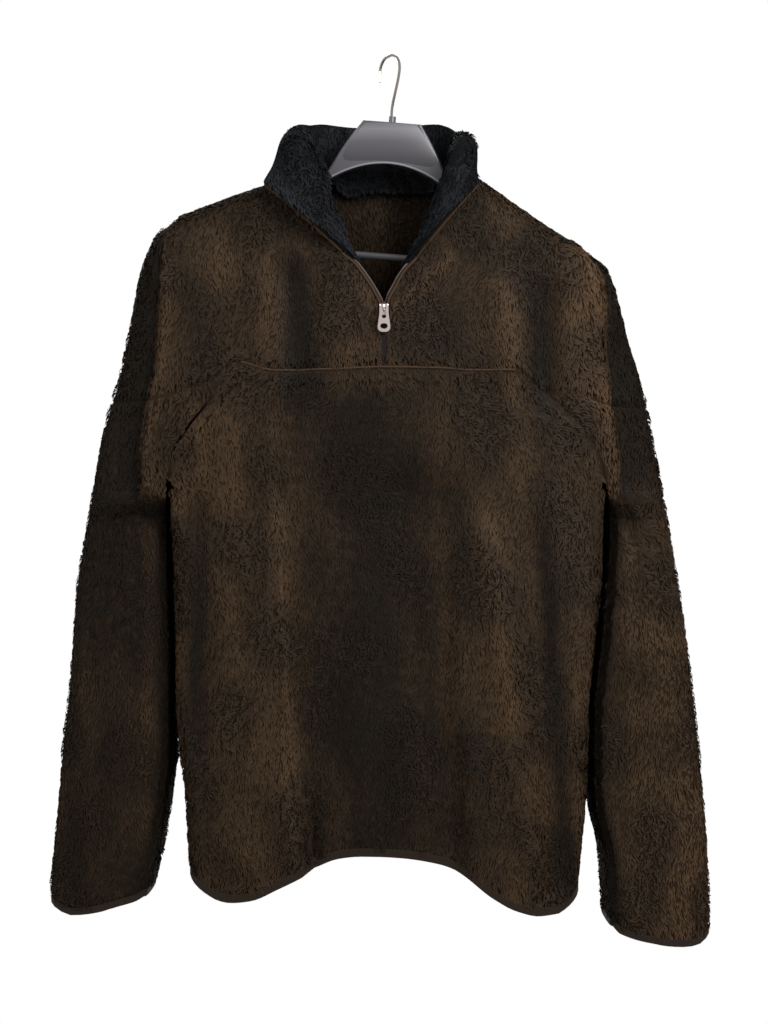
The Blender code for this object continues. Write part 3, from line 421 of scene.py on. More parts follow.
def yoke_flat(side):
    """The yoke's front face as a function: from the zip and neck edge (0) to the arm's point 1 (1)."""
    s = SIDES[side]
    neck, zip_end = FRONT_EDGE[side][-1][1], edge_x[side](TAPE_LOW)

    def height(u, v):
        """Height and roundness: evenly in quarter turns from the seam up to the ridge."""
        top = ridge(s * (neck + (front_top_x(side) - neck) * u))
        low = yoke_seam(s * (zip_end + (chain_x1(side) - zip_end) * u))
        drop, out = over(turns(top - low) * (1 - v))
        return top - drop, out

    def surface(u, v):
        """Across from the zip's edge (0) to the arm's point 1 (1), and up from the seam to the ridge."""
        z, out = height(u, v)
        start, end = edge_x[side](height(0 * u, v)[0]), fold_x[side](height(0 * u + 1, v)[0]) - FOLD_FLAT
        x = start + (end - start) * u
        return s * x, front_y(s * x, z) * out, z
    return surface


def seam_columns(side):
    """The yoke's columns: under each of the front panel's and of the sleeve's, as shares of its width."""
    s = SIDES[side]
    front = np.linspace(-front_top("left"), front_top("right"), FRONT_COLUMNS) * s
    start, end, joint = edge_x[side](TAPE_LOW), chain_x1(side), front_top(side)
    places = [start, *np.sort(front[front > start + 3]), (joint + end) / 2, end]
    return (np.array(places) - start) / (end - start)


def yoke_patches(side):
    """Front yoke: chest and neck, round the fold edge into the crease and out over the shoulder's end."""
    flip = side == "left"

    def shoulder_end(u, v):
        """The yoke goes on along the arm's section, from its point 1 to point 5."""
        a = 1 + 4 * u
        top = chain_top(side, a)
        q_low = turns(top - chain_low(side, a))
        drop, out = over(q_low * (1 - v))
        z = top - drop
        x, y = chain(side, a, z)
        return x, y * out, z
    vs = [0, 0.16, 0.27, 0.33, 0.39, 0.45, 0.51, 0.58, 0.67, 0.76, 0.84, 0.91, 0.96, 1]
    patches = [(yoke_flat(side), seam_columns(side), vs, flip),
               (shoulder_end, np.arange(13) / 3 / 4, vs, flip)]
    return patches


def sleeve_patches(side):
    """Sleeve: one rolled piece. Below the underarm it is a tube, above it stops at armhole and yoke seams."""
    s = SIDES[side]
    flip = side == "left"
    low_w = 0.76

    def rise(v, bottom, top):
        """Height: straight from the cuff to the underarm, then straight to the top."""
        low, high = part_of(v, 0, low_w), part_of(v, low_w, 1)
        arm = bottom + (UNDERARM_Z - bottom) * low
        return np.where(v > low_w, UNDERARM_Z + (top - UNDERARM_Z) * high, arm)

    def bottom_at(x, band):
        """Height of the cuff's edge under X, above its binding."""
        return cuff_z[side](s * x) + band

    def round_arm(u, v, band=CUFF_BAND):
        """Along the arm's section from its front point 1 round the outside to its back point 7."""
        a = 1 + 6 * u
        z = rise(v, bottom_at(chain(side, a, CUFF_LEVEL + 0 * a)[0], band), chain_low(side, a) - SLEEVE_GAP)
        return (*chain(side, a, z), z)

    def corner(z):
        """The inner front corner: the armhole seam's end at the underarm, drawn in below it."""
        hang = hanging(z)
        x = armhole_x[side](z) * (1 - hang) + (inner_x[side](z) + 3) * hang
        return x, front_y(s * x, z) * (1 - hang) - 0.8 * arm_front(z) * hang

    def front_face(u, v, band=CUFF_BAND):
        """From the inner front corner (0) to point 1 (1): the front, eased into a straight line below."""
        x_low = s * corner(CUFF_LEVEL)[0] * (1 - u) + chain(side, 1.0 + 0 * u, CUFF_LEVEL + 0 * u)[0] * u
        seam_top = ARMHOLE[side][0][0] - SLEEVE_GAP
        joint = armhole_x[side](seam_top)
        top = yoke_seam(s * (joint + (chain_x1(side) - joint) * u)) - SLEEVE_GAP
        z = rise(v, bottom_at(x_low, band), top)
        inner, y_inner = corner(z)
        x_end, y_end = chain(side, 1.0 + 0 * z, z)
        x = s * inner * (1 - u) + x_end * u
        hang = hanging(z)
        flat_y = front_y(x, z) + (y_inner - front_y(s * inner, z)) * (1 - u) + (y_end - front_y(x_end, z)) * u
        y = flat_y * (1 - hang) + (y_inner * (1 - u) + y_end * u) * hang
        return x, y, z

    def inside(u, v, band=CUFF_BAND):
        """From the back (0) round the inner side, past the underarm seam, to the inner front corner (1)."""
        x_low = chain(side, 7.0 + 0 * u, CUFF_LEVEL + 0 * u)[0] * (1 - u) + s * corner(CUFF_LEVEL)[0] * u
        z = rise(v * low_w, bottom_at(x_low, band), 0.0)
        x_back, y_back = chain(side, 7.0 + 0 * z, z)
        x_front, y_front = corner(z)
        bow = 3 * np.sin(np.pi * u) ** 0.5 * hanging(z)
        share = 0.5 - 0.5 * np.cos(np.pi * u)
        return (x_back * (1 - u) + s * x_front * u) - s * bow, y_back * (1 - share) + y_front * share, z
    lows, highs = np.linspace(0, low_w, 17), np.linspace(low_w, 1, 5)[1:]
    vs = [*lows, *highs]
    patches = [(front_face, [0, 0.5, 1], vs, flip),
               (round_arm, np.linspace(0, 1, 19), vs, flip),
               (inside, np.linspace(0, 1, 7), np.linspace(0, 1, 17), flip)]
    return patches


def neck_line(p):
    """The neck seam: up the left yoke's edge, across the back below its ridge, down the right yoke's edge."""
    left_x, right_x = -FRONT_EDGE["left"][-1][1], FRONT_EDGE["right"][-1][1]
    share = np.clip(np.minimum(p, 1 - p) / NECK_SHARE, 0, 1)
    points = []
    for side, end in (("left", left_x), ("right", right_x)):
        top = float(ridge(end))
        z = NECK_FRONT[side] + (top - NECK_FRONT[side]) * share
        x = SIDES[side] * edge_x[side](z)
        points.append((x, front_y(x, z) * over(turns(top - z))[1], z))
    across = np.clip((p - NECK_SHARE) / (1 - 2 * NECK_SHARE), 0, 1)
    x = left_x + (right_x - left_x) * across
    drop, out = over(neck_turns(x))
    behind = (x, rear_y(x, ridge(x) - drop) * out, ridge(x) - drop)
    left, right = points
    return tuple(np.where(p < NECK_SHARE, left[i], np.where(p > 1 - NECK_SHARE, right[i], behind[i]))
                 for i in range(3))


collar_top = [table(COLLAR_TOP, c) for c in (1, 2, 3)]


def collar_face(p, h):
    """The collar: straight lines from the neck seam to its top edge, bowed out, its ends lying forward."""
    base, top = neck_line(p), [read(p) for read in collar_top]
    near = np.minimum(p, 1 - p)
    ends, shoulder = ease(1 - near / 0.3), ease(1 - np.abs(near - 0.18) / 0.12)
    bow = np.sin(np.pi * h)
    draw_in = 0.02 * (1 - ends)
    base = (base[0] + (ZIP_X - base[0]) * draw_in, base[1] * (1 - draw_in), base[2])
    x, y, z = (b + (t - b) * h for b, t in zip(base, top))
    forward = (1.6 + 10 * bow) * ends + (1.0 + 15 * bow) * shoulder
    return x, y - forward + 3 * bow * (1 - ends) * np.sin(np.pi * p), z + (0.6 + 7 * bow) * shoulder


def full_strip(side):
    """The two half strips of a side as one, without the side seam's gap."""
    front, back = side_strip(side, True), side_strip(side, False)

    def surface(u, v, band=HEM_BAND):
        """From the front corner (0) to the back corner (1): the two strips, joined at the side seam."""
        near, far = front(2 * u, v, band), back(2 - 2 * u, v, band)
        return tuple(np.where(np.abs(u - 0.5) < 1e-6, (a + b) / 2, np.where(u < 0.5, a, b))
                     for a, b in zip(near, far))
    return surface


BACKING_DEPTH = 1.4   # how far the backing lies inside the solid's outer face
BACKING = 1.5         # thickness of the knitted backing


def colour(code):
    """Linear red, green, blue and alpha of an sRGB colour written as six hex digits."""
    parts = [int(code[i:i + 2], 16) / 255 for i in (0, 2, 4)]
    return (*[c / 12.92 if c <= 0.04045 else ((c + 0.055) / 1.055) ** 2.4 for c in parts], 1.0)


def material(name, base, rough, metal=0.0, **inputs):
    """A material with its shader's constants set; the caller adds texture nodes to it."""
    made = bpy.data.materials.new(name)
    made.use_nodes = True
    shader = made.node_tree.nodes["Principled BSDF"]
    shader.inputs["Base Color"].default_value = colour(base)
    shader.inputs["Roughness"].default_value = rough
    shader.inputs["Metallic"].default_value = metal
    for key, value in inputs.items():
        shader.inputs[key.replace("_", " ")].default_value = value
    return made


def node(made, kind, links=(), **settings):
    """Adds a node: links are (own input, from node, its output), and settings are its properties."""
    item = made.node_tree.nodes.new(kind)
    for key, value in settings.items():
        setattr(item, key, value)
    for own, source, output in links:
        made.node_tree.links.new(source.outputs[output], item.inputs[own])
    return item


def ramp(made, source, output, stops):
    """A colour ramp driven by a node's output; stops are (place, sRGB hex)."""
    item = node(made, "ShaderNodeValToRGB", [("Fac", source, output)])
    while len(item.color_ramp.elements) < len(stops):
        item.color_ramp.elements.new(0.5)
    for element, (place, code) in zip(item.color_ramp.elements, stops):
        element.position, element.color = place, colour(code)
    return item


def paint(made, source, output):
    """Drives a material's base colour by a node's output."""
    shader = made.node_tree.nodes["Principled BSDF"]
    made.node_tree.links.new(source.outputs[output], shader.inputs["Base Color"])


def pile_material(name, root, low, high, gold, rough=0.62, sheen=0.25):
    """Pile: dark at the root, lighter to the tip, and lighter again, up to a gold tip, where the tone of the
    cloth is high: painted light, mixing a lit copy of the colours over a shaded one.
    """
    made = material(name, low, rough, Sheen_Weight=sheen, Sheen_Roughness=0.4,
                    Sheen_Tint=colour(gold), Specular_IOR_Level=0.1)
    along = node(made, "ShaderNodeUVMap", uv_map="pile")
    tone = node(made, "ShaderNodeUVMap", uv_map="tone")
    split = node(made, "ShaderNodeSeparateXYZ", [("Vector", along, "UV")])
    split_tone = node(made, "ShaderNodeSeparateXYZ", [("Vector", tone, "UV")])
    # painted shade and painted light: a shaded and a lit copy of the pile's colours, mixed by the tone map
    dark = ramp(made, split, "X", [(0.0, root), (1.0, low)])
    light = ramp(made, split, "X", [(0.0, root), (0.3, low), (0.6, high), (0.85, high), (1.0, gold)])
    blend = [("Factor", split_tone, "X"), ("A", dark, "Color"), ("B", light, "Color")]
    paint(made, node(made, "ShaderNodeMix", blend, data_type="RGBA"), "Result")
    return made


def crown_plastic():
    """Moulded plastic of the crown's face with painted light and shade: its tone follows the height, darker
    towards the arch, a painted highlight under the top edge, dark at the top edge itself.
    """
    made = material("grey_polystyrene_crown", "48464a", 0.28, Specular_IOR_Level=0.55)
    place = node(made, "ShaderNodeTexCoord")
    split = node(made, "ShaderNodeSeparateXYZ", [("Vector", place, "Object")])
    height = node(made, "ShaderNodeMapRange", [("Value", split, "Z")])
    height.inputs["From Min"].default_value, height.inputs["From Max"].default_value = CROWN_HEIGHTS
    # painted light and shade by height: dark low on the face, a painted highlight band under the top edge,
    # dark at the top edge
    painted_light_and_shade_bands = [(0.0, "343236"), (0.3, "3a383c"), (0.6, "4a484c"), (0.84, "68666b"), (0.94, "5c5a5f"),
             (1.0, "2c2a2d")]
    paint(made, ramp(made, height, "Result", painted_light_and_shade_bands), "Color")
    return made


CROWN_HEIGHTS = (-0.118, -0.064)   # lowest and highest place of the crown's face, in metres
# long acrylic pile, combed: matt, nearly black at the roots, warmer and lighter towards the tips
BROWN_PILE = pile_material("brown_pile", "0b0805", "16110b", "36291c", "5c4630", sheen=0.08)
# black plush: a little bluish where it catches the light
BLACK_PILE = pile_material("black_pile", "050506", "0d0e10", "1b1d21", "31353a", sheen=0.12)
# knitted grounds of the two piles: dull, and seen only between tufts
BROWN_BACK = material("brown_knit_backing", "20170e", 0.95, Specular_IOR_Level=0.1)
BLACK_BACK = material("black_knit_backing", "08090a", 0.95, Specular_IOR_Level=0.1)
# folded stretch binding: smooth and matt, darker than the pile
BINDING = material("brown_stretch_binding", "1d140c", 0.9, Sheen_Weight=0.1, Specular_IOR_Level=0.15)
# woven polyester tape: the lightest brown, with a faint sheen
TAPE = material("brown_woven_tape", "4a3a2e", 0.75, Sheen_Weight=0.2)
# cord in a folded strip: a thin lit line along an edge
PIPING = material("brown_cord_piping", "3a2a1c", 0.85, Specular_IOR_Level=0.2)
# polished pinkish nickel plate: bright with sharp highlights
NICKEL = material("pinkish_nickel_plate", "d6c6c1", 0.3, 1.0)
# moulded polyester teeth: dark and nearly matt
TEETH = material("moulded_brown_teeth", "17110c", 0.7, Specular_IOR_Level=0.15)
# chromed steel wire: mirrors the white room in thin stripes
WIRE = material("chromed_wire", "c4bbb2", 0.22, 1.0)
# moulded polystyrene: smooth grey, fairly glossy, with a lighter lip where its edge turns to the light
PLASTIC = material("grey_polystyrene", "48464a", 0.3, Specular_IOR_Level=0.55)
LIP = material("grey_polystyrene_lip", "77757a", 0.3, Specular_IOR_Level=0.55)
CROWN = crown_plastic()


def refine(knots, parts):
    """The same list of places with each step cut in equal parts."""
    knots = np.asarray(knots, float)
    return np.interp(np.arange((len(knots) - 1) * parts + 1) / parts, np.arange(len(knots)), knots)


def sample(patch, parts):
    """A patch on a finer grid: places, outward normals, and the unit direction down the cloth."""
    function, us, vs, flip = patch
    us, vs = refine(us, parts), refine(vs, parts)
    u, v = np.meshgrid(us, vs)
    step = 2e-3

    def at(uu, vv):
        """The places as one array."""
        return np.stack(np.broadcast_arrays(*function(uu, vv)), -1)
    across = at(np.clip(u + step, us[0], us[-1]), v) - at(np.clip(u - step, us[0], us[-1]), v)
    up = at(u, np.clip(v + step, vs[0], vs[-1])) - at(u, np.clip(v - step, vs[0], vs[-1]))
    normal = unit(np.cross(across, up)) * (-1 if flip else 1)
    return at(u, v), normal, -unit(up)


def unit(v):
    """The same directions with length 1."""
    return v / np.maximum(np.linalg.norm(v, axis=-1, keepdims=True), 1e-9)


def add(name, data, finish, body="garment"):
    """Links a mesh as a piece that rides on a body."""
    item = bpy.data.objects.new(name, data)
    bpy.context.scene.collection.objects.link(item)
    data.materials.append(finish)
    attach(item, body)
    return item


def from_arrays(name, points, faces, smooth=True):
    """A mesh from points in millimetres and one array of faces with the same number of corners."""
    data = bpy.data.meshes.new(name)
    data.vertices.add(len(points))
    data.vertices.foreach_set("co", (np.asarray(points, np.float32) * MM).ravel())
    corners = faces.shape[1]
    data.loops.add(faces.size)
    data.loops.foreach_set("vertex_index", faces.astype(np.int32).ravel())
    data.polygons.add(len(faces))
    data.polygons.foreach_set("loop_start", np.arange(0, faces.size, corners, dtype=np.int32))
    data.update(calc_edges=True)
    data.polygons.foreach_set("use_smooth", np.full(len(faces), smooth))
    return data


def shell(name, patches, finish, parts=3, depth=BACKING_DEPTH, wall=BACKING):
    """A closed thin cloth: the patches' grids joined, set in by a depth and given a thickness."""
    points, faces, first = [], [], 0
    for patch in patches:
        place = sample(patch, parts)[0]
        rows, cols = place.shape[:2]
        index = first + np.arange(rows * cols).reshape(rows, cols)
        quads = np.stack([index[:-1, :-1], index[:-1, 1:], index[1:, 1:], index[1:, :-1]], -1).reshape(-1, 4)
        faces.append(quads[:, ::-1] if patch[3] else quads)
        points.append(place.reshape(-1, 3))
        first += rows * cols
    data = from_arrays(name, np.concatenate(points), np.concatenate(faces))
    mesh = bmesh.new()
    mesh.from_mesh(data)
    bmesh.ops.remove_doubles(mesh, verts=mesh.verts, dist=WELD * MM)
    bmesh.ops.dissolve_degenerate(mesh, edges=mesh.edges, dist=0.01 * MM)
    mesh.normal_update()
    for vert in mesh.verts:
        vert.co -= vert.normal * depth * MM
    mesh.to_mesh(data)
    mesh.free()
    item = add(name, data, finish)
    thick = item.modifiers.new("thickness", "SOLIDIFY")
    thick.thickness, thick.offset = wall * MM, -1
    return item


def waves(p, size, seed, count=9):
    """A smooth random field: the sum of sine waves in random directions with lengths near a size."""
    source = np.random.default_rng(seed)
    total = np.zeros(p.shape[:-1])
    for k in range(count):
        way = unit(source.normal(size=3))
        length = size * source.uniform(0.7, 1.6)
        total += np.sin(2 * np.pi * (p @ way) / length + source.uniform(0, 2 * np.pi))
    return total / math.sqrt(count / 2)


def seam_distance(p):
    """Distance on the front from the yoke's lower seam and from the armhole seams."""
    x, y, z = p[..., 0], p[..., 1], p[..., 2]
    nearest = np.full(x.shape, 99.0)
    for side, s in SIDES.items():
        own = s * x > 0
        arm = chain_x1(side)
        level = np.where(s * x > arm, yoke_seam(s * arm) - 0.06 * (s * x - arm), yoke_seam(x))
        shows = own & ((y < 0) | (s * x > arm - 6))
        nearest = np.where(shows, np.minimum(nearest, np.abs(z - level)), nearest)
        top = ARMHOLE[side][0][0]
        hole = np.abs(s * x - armhole_x[side](z)) * 0.75
        hole = hole + 3 * np.maximum(z - top, 0) + 3 * np.maximum(UNDERARM_Z - z, 0)
        nearest = np.where(own & (y < 0), np.minimum(nearest, hole), nearest)
    return nearest


def scatter(patches, spacing, parts=2):
    """Roots spread evenly, with normal, direction down the cloth, and distance above the lowest edge."""
    gathered = []
    for patch in patches:
        place, normal, down = sample(patch, parts)
        diagonal = [place[1:, 1:] - place[:-1, :-1], place[1:, :-1] - place[:-1, 1:]]
        area = 0.5 * np.linalg.norm(np.cross(*diagonal), axis=-1)
        count = rng.poisson(area / spacing ** 2)
        rows, cols = np.nonzero(count)
        rows, cols = np.repeat(rows, count[rows, cols]), np.repeat(cols, count[rows, cols])
        a, b = rng.random(len(rows))[:, None], rng.random(len(rows))[:, None]

        def between(grid):
            """Values inside the cells, blended linearly from their four corners."""
            return ((grid[rows, cols] * (1 - a) + grid[rows, cols + 1] * a) * (1 - b)
                    + (grid[rows + 1, cols] * (1 - a) + grid[rows + 1, cols + 1] * a) * b)
        height = np.linalg.norm(np.diff(place, axis=0), axis=-1)
        height = np.concatenate([np.zeros((1, place.shape[1])), np.cumsum(height, axis=0)])[..., None]
        gathered.append([between(place), unit(between(normal)), unit(between(down)), between(height)[:, 0]])
    return [np.concatenate(list(column)) for column in zip(*gathered)]


def pile(name, patches, finish, spacing, length, width=1.25, depth=BACKING_DEPTH, clump=4.5, rise=0.75,
         swirl=0.5, seed=1, tone=None, short_edge=True, side=1):
    """Pile as one mesh: curved blades of three triangles, combed down the cloth, gathered in loose clumps.

    side is -1 for pile on the inner face. tone is a function of place added to how light the pile is; the
    cloth's painted light and shade comes in through it.
    """
    place, normal, down, above = scatter(patches, spacing * (1))
    gap = seam_distance(place)
    sink = depth + (1.5 * np.exp(-(gap / 3.0) ** 2) - 1.8 * np.exp(-((gap - 9) / 5) ** 2)) * (side > 0)
    root = place - normal * sink[:, None]
    normal = normal * side
    fall = np.array([0, 0, -1.0]) + 0.6 * down
    down = unit(fall - (fall * normal).sum(-1, keepdims=True) * normal)
    rough = ease(waves(place * [1, 1, 0.6], 60, seed) * 0.5 + 0.35)
    angle = 0.2 * waves(place, 90, seed + 1) + swirl * (0.15 + rough) * waves(place, 24, seed + 2)
    angle = angle + rng.normal(0, 0.14, len(place)) + 0.6 * rough * waves(place, 9, seed + 3)
    beside = np.cross(normal, down)
    comb = down * np.cos(angle)[:, None] + beside * np.sin(angle)[:, None]
    reach = length * (0.85 + 0.1 * waves(place, 11, seed + 4) + rng.normal(0, 0.1, len(place)))
    if short_edge:
        reach = np.minimum(reach, 6.5 + above)
    up = rise * (0.4 + 0.7 * rough + 0.08 * waves(place, 14, seed + 5)) + rng.normal(0, 0.05, len(place))
    up = np.clip(up, 0.12, 1.1)
    first = comb * np.cos(up)[:, None] + normal * np.sin(up)[:, None]
    second = comb * np.cos(up * 0.15)[:, None] + normal * np.sin(up * 0.15)[:, None]
    middle = root + first * (0.45 * reach)[:, None]
    tip = middle + second * (0.6 * reach)[:, None]
    cell = np.floor(place / clump + 0.35 * np.stack([waves(place, 17, seed + 6 + k) for k in range(3)], -1))
    group = np.unique(cell.astype(int), axis=0, return_inverse=True)[1].ravel()
    size = np.bincount(group)
    mean = np.stack([np.bincount(group, tip[:, k]) for k in range(3)], -1) / size[:, None]
    pull = (rng.uniform(0.05, 0.3, len(place)) + 0.35 * rough)[:, None]
    tip = tip + (mean[group] - tip) * pull
    middle = middle + (mean[group] - tip) * pull * 0.15
    turn = rng.normal(0, 0.5, len(place))
    flat = unit(np.cross(tip - root, normal))
    across = flat * np.cos(turn)[:, None] + normal * np.sin(turn)[:, None]
    half = (0.5 * width * rng.uniform(0.7, 1.3, len(place)))[:, None]
    points = np.stack([root - across * half * 0.8, root + across * half * 0.8, middle + across * half,
                       middle - across * half, tip], 1)
    count = len(place)
    base = np.arange(count)[:, None] * 5
    triangles = (base[:, :, None] + np.array([[0, 1, 2], [0, 2, 3], [3, 2, 4]])[None]).reshape(-1, 3)
    data = from_arrays(name, points.reshape(-1, 3), triangles)
    # the pile's own random tone, plus the painted light and shade from tone
    light = 0.4 + 0.06 * waves(place * [1, 1, 0.3], 45, seed + 9) + 0.04 * waves(place, 12, seed + 10)
    light = light + rng.normal(0, 0.03, count) * (1 + 2 * rough) + (tone(place) if tone else 0)
    light = np.clip(light + (0.04 + 0.22 * rough) * (rng.random(len(size)) - 0.5)[group], 0, 1)
    strength = 0.2 + 0.65 * rough[:, None]
    along = (1 - (1 - np.array([0, 0, 0.5, 0.5, 1.0])) * strength).ravel()
    chance = np.repeat(rng.random(count), 5)
    for layer, pair in (("pile", (along, chance)), ("tone", (np.repeat(light, 5), chance))):
        uv = data.uv_layers.new(name=layer)
        uv.data.foreach_set("uv", np.stack(pair, -1)[triangles.ravel()].astype(np.float32).ravel())
    facing = unit(np.cross(across, tip - root))
    facing = facing * np.sign((facing * normal).sum(-1, keepdims=True) + 1e-9)
    soft = unit(normal + (0.08 + 0.25 * rough[:, None]) * facing + 0.1 * comb)
    data.normals_split_custom_set_from_vertices(np.repeat(soft, 5, axis=0))
    return add(name, data, finish)


front, front_flat, side_strip = front_patches()
back, back_flat = back_patches()
panels = {"front_body": front, "back_body": back}
flats = {"front_body": (0.44, 0.53), "back_body": (0.50, 0.70)}   # width and length of a cut, in metres
spacing = {"front_body": 1.5, "back_body": 2.9}   # between the roots of the pile
for side in SIDES:
    yoke, sleeve = "yoke_" + side, "sleeve_" + side
    panels[yoke], flats[yoke], spacing[yoke] = yoke_patches(side), (0.27, 0.24), 1.55
    panels[sleeve], flats[sleeve], spacing[sleeve] = sleeve_patches(side), (0.33, 0.53), 1.95


def painted_light_and_shade(p):
    """Painted light and shade in the pile's tone: painted highlights on ridges, fold edges and the zip's
    right edge, painted shade in troughs and creases.
    """
    x, z = p[..., 0], p[..., 2]
    total = lines(x, z, PAINTED_LIGHT_LINES, end=50)
    for side, s in SIDES.items():
        out, fold = s * x, fold_x[side](z)
        # painted shade on the arm beyond the fold edge, in the crease: less far out and below the underarm,
        # and halved low on the right arm
        shade = ease((out - fold - 1) / 5) * ease((z + 660) / 220)
        calmer = 1 if s < 0 else 1 - 0.5 * ease((-400 - z) / 60)
        total = total - shade * (0.75 - 0.35 * ease((out - fold - 8) / 22)) * calmer
        # painted highlight just inside the fold edge, from below the shoulder down to the underarm
        edge = np.exp(-((out - fold + 9) / 8) ** 2)
        total = total + 0.3 * edge * ease((z + 440) / 12) * ease((-z - 190) / 40)
        # painted shade along the arm's inner line below the underarm
        low = ease((UNDERARM_Z - 4 - z) / 10)
        total = total - 0.7 * np.exp(-((out - inner_x[side](z) - 3) / 9) ** 2) * low
        # painted shadow in a narrow band just below the underarm, between the body's side and the fold edge
        painted_flap_shadow = np.exp(-((z + 452) / 9) ** 2)
        total = total - 0.6 * painted_flap_shadow * ease((out - 216) / 4) * ease((fold + 14 - out) / 10)
    # painted light from the right: the right sleeve lighter, the left sleeve darker, low on the arms
    sleeve = ease((x - 232) / 12) * ease((-z - 400) / 60)
    left = ease((-x - 238) / 12) * ease((-z - 400) / 60)
    return (total + 0.3 * sleeve - 0.2 * left) * ease((4 - p[..., 1]) / 12)


# painted light and shade on the front: X at the top, X at the bottom, top and bottom height, half width, how
# much lighter (below 0, painted shade)
PAINTED_LIGHT_LINES = [(-150, -128, -350, -840, 38, 0.2), (-110, -84, -440, -800, 7, 0.3),
               (-182, -186, -430, -700, 10, -0.4), (-205, -205, -430, -800, 7, 0.25),
               (-20, -10, -330, -820, 62, -0.42), (96, 142, -440, -840, 18, 0.3),
               (150, 176, -470, -820, 10, -0.35), (190, 185, -440, -780, 12, 0.12),
               (-88, -84, -205, -340, 17, -0.5), (152, 150, -235, -350, 17, -0.45),
               (118, 118, -220, -350, 14, 0.3), (60, 4, -205, -262, 8, 0.95),
               (-140, -140, -190, -350, 24, 0.25), (-55, -8, -200, -262, 7, 0.25),
               (-40, -40, -260, -340, 18, 0.12), (70, 40, -240, -340, 20, -0.15),
               (-190, -190, -330, -440, 22, 0.22), (175, 180, -340, -440, 20, 0.1),
               (190, 198, -190, -350, 26, 0.8), (230, 250, -400, -560, 30, 0.15)]
PILE_LENGTH = 6.0
LOW_ROWS = 8   # rows of the front panel under its upper pile
for name, patches in panels.items():
    cloth = shell(name + "_backing", patches, BROWN_BACK, parts=2)
    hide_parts(name)
    halves = {"_pile": patches}
    if name == "front_body":
        face, us, vs, flip = patches[0]
        halves = {"_low_pile": [(face, us, vs[:LOW_ROWS], flip), *patches[1:]],
                  "_high_pile": [(face, us, vs[LOW_ROWS - 1:], flip)]}
    furs = [pile(name + end, some, BROWN_PILE, spacing[name], PILE_LENGTH, seed=20,
                 tone=painted_light_and_shade, short_edge=end != "_high_pile") for end, some in halves.items()]


def dim(p):
    """The inside has one even tone."""
    return 0.05 + 0 * p[..., 0]


ps, hs = np.linspace(0, 1, 25), [0, 0.25, 0.5, 0.75, 1]
collar = [(collar_face, ps, hs, True)]
cloth = shell("collar_backing", collar, BROWN_BACK, depth=1.6)
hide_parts("collar")
fur = pile("collar_pile", collar, BROWN_PILE, 2.0, 8.0, depth=1.6, seed=50, tone=painted_light_and_shade)
lining = [(collar_face, ps, [-0.22, *hs], True)]
cloth = shell("collar_lining_backing", lining, BLACK_BACK, depth=3.0, wall=3.2)
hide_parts("collar_lining")
fur = pile("collar_lining_pile", lining, BLACK_PILE, 1.5, PILE_LENGTH, width=0.95, depth=6.0,
           clump=4.0, rise=0.9, swirl=1.1, seed=60, short_edge=False, side=-1)


inner = [(back_flat, np.linspace(0.28, 0.72, 12), np.linspace(0.7, 0.995, 14), True)]
pile("back_inner_pile", inner, BROWN_PILE, 2.0, 6.5, depth=3.2, seed=80, side=-1, tone=dim)


CORD = 1.1        # radius of the piping's cord
ALLOWANCE = 2.4   # radius of the folded seam at the neck


def tube(name, path, radius, finish, sides=8, body="garment"):
    """A round cord along a line of points."""
    path = np.asarray(path, float)
    along = unit(np.gradient(path, axis=0))
    first = unit(np.cross(along, [0.3, 1.0, 0.2]))
    second = np.cross(along, first)
    turn = np.linspace(0, 2 * np.pi, sides, endpoint=False)[None, :, None]
    ring = path[:, None] + radius * (np.cos(turn) * first[:, None] + np.sin(turn) * second[:, None])
    count = len(path)
    index = np.arange(count * sides).reshape(count, sides)
    after = np.roll(index, -1, axis=1)
    quads = np.stack([index[:-1], after[:-1], after[1:], index[1:]], -1).reshape(-1, 4)
    return add(name, from_arrays(name, ring.reshape(-1, 3), quads), finish, body)


def edge_band(name, patches, band, finish):
    """The bound edge: the lowest line of each patch, rolled over the cloth as a soft narrow band."""
    lowest = []
    for function, us, _, flip in patches:
        def rolled(u, v, function=function):
            """The patch's lowest line, lifted evenly over the band."""
            return function(u, 0 * v, band=v * band)
        lowest.append((rolled, us, [0, 0.25, 0.5, 0.75, 1.0], flip))
    item = shell(name + "_cloth", lowest, finish, parts=2, depth=0.3, wall=4.4)
    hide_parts(name)
    return item


x, y, z = neck_line(np.linspace(0, 1, 121))
inside = np.stack([x, y - 2 * np.tanh(y / 8), z - 2 * np.exp(-(y / 8) ** 2)], -1)
tube("neck_seam", inside, ALLOWANCE, BROWN_BACK)
turn_round = [0, 0.1, 0.2, 0.3, 0.5, 0.7, 0.8, 0.9, 1.0]
hem = [(front_flat, np.linspace(0, 1, 31), None, False), (back_flat, np.linspace(0, 1, 31), None, True),
       (full_strip("left"), turn_round, None, True), (full_strip("right"), turn_round, None, False)]
item = edge_band("hem_binding", hem, HEM_BAND, BINDING)
for side in SIDES:
    item = edge_band("cuff_binding_" + side, panels["sleeve_" + side], CUFF_BAND, BINDING)


def zip_line(side, count=90, low=SLIDER_Z + 4):
    """The free zip edge of a side: from the slider along the yoke, then up the collar's front end."""
    s = SIDES[side]
    z = np.linspace(low, NECK_FRONT[side], count)
    x = s * edge_x[side](z)
    lower = np.stack([x, front_y(x, z), z], -1)
    h = np.linspace(0, 1, 50)
    p = (0.0 if side == "left" else 1.0) + 0 * h
    upper = np.stack(np.broadcast_arrays(*collar_face(p, h)), -1)
    return np.concatenate([lower, upper[1:]])


for side, s in SIDES.items():
    tube("zip_piping_" + side, zip_line(side) + [-0.6 * s, 0.4, 0.2], CORD, PIPING)
metal, moulded = ("zip_slider", "zip_bail", "zip_pull"), ("hanger_body", "hanger_bar", "hook_socket")
kept = {TAPE: ("zip_tape_left", "zip_tape_right"), NICKEL: metal, WIRE: ("hanger_hook",), PLASTIC: moulded}
for finish, names in kept.items():
    for name in names:
        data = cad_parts[name].data
        data.materials.clear()
        data.materials.append(finish)


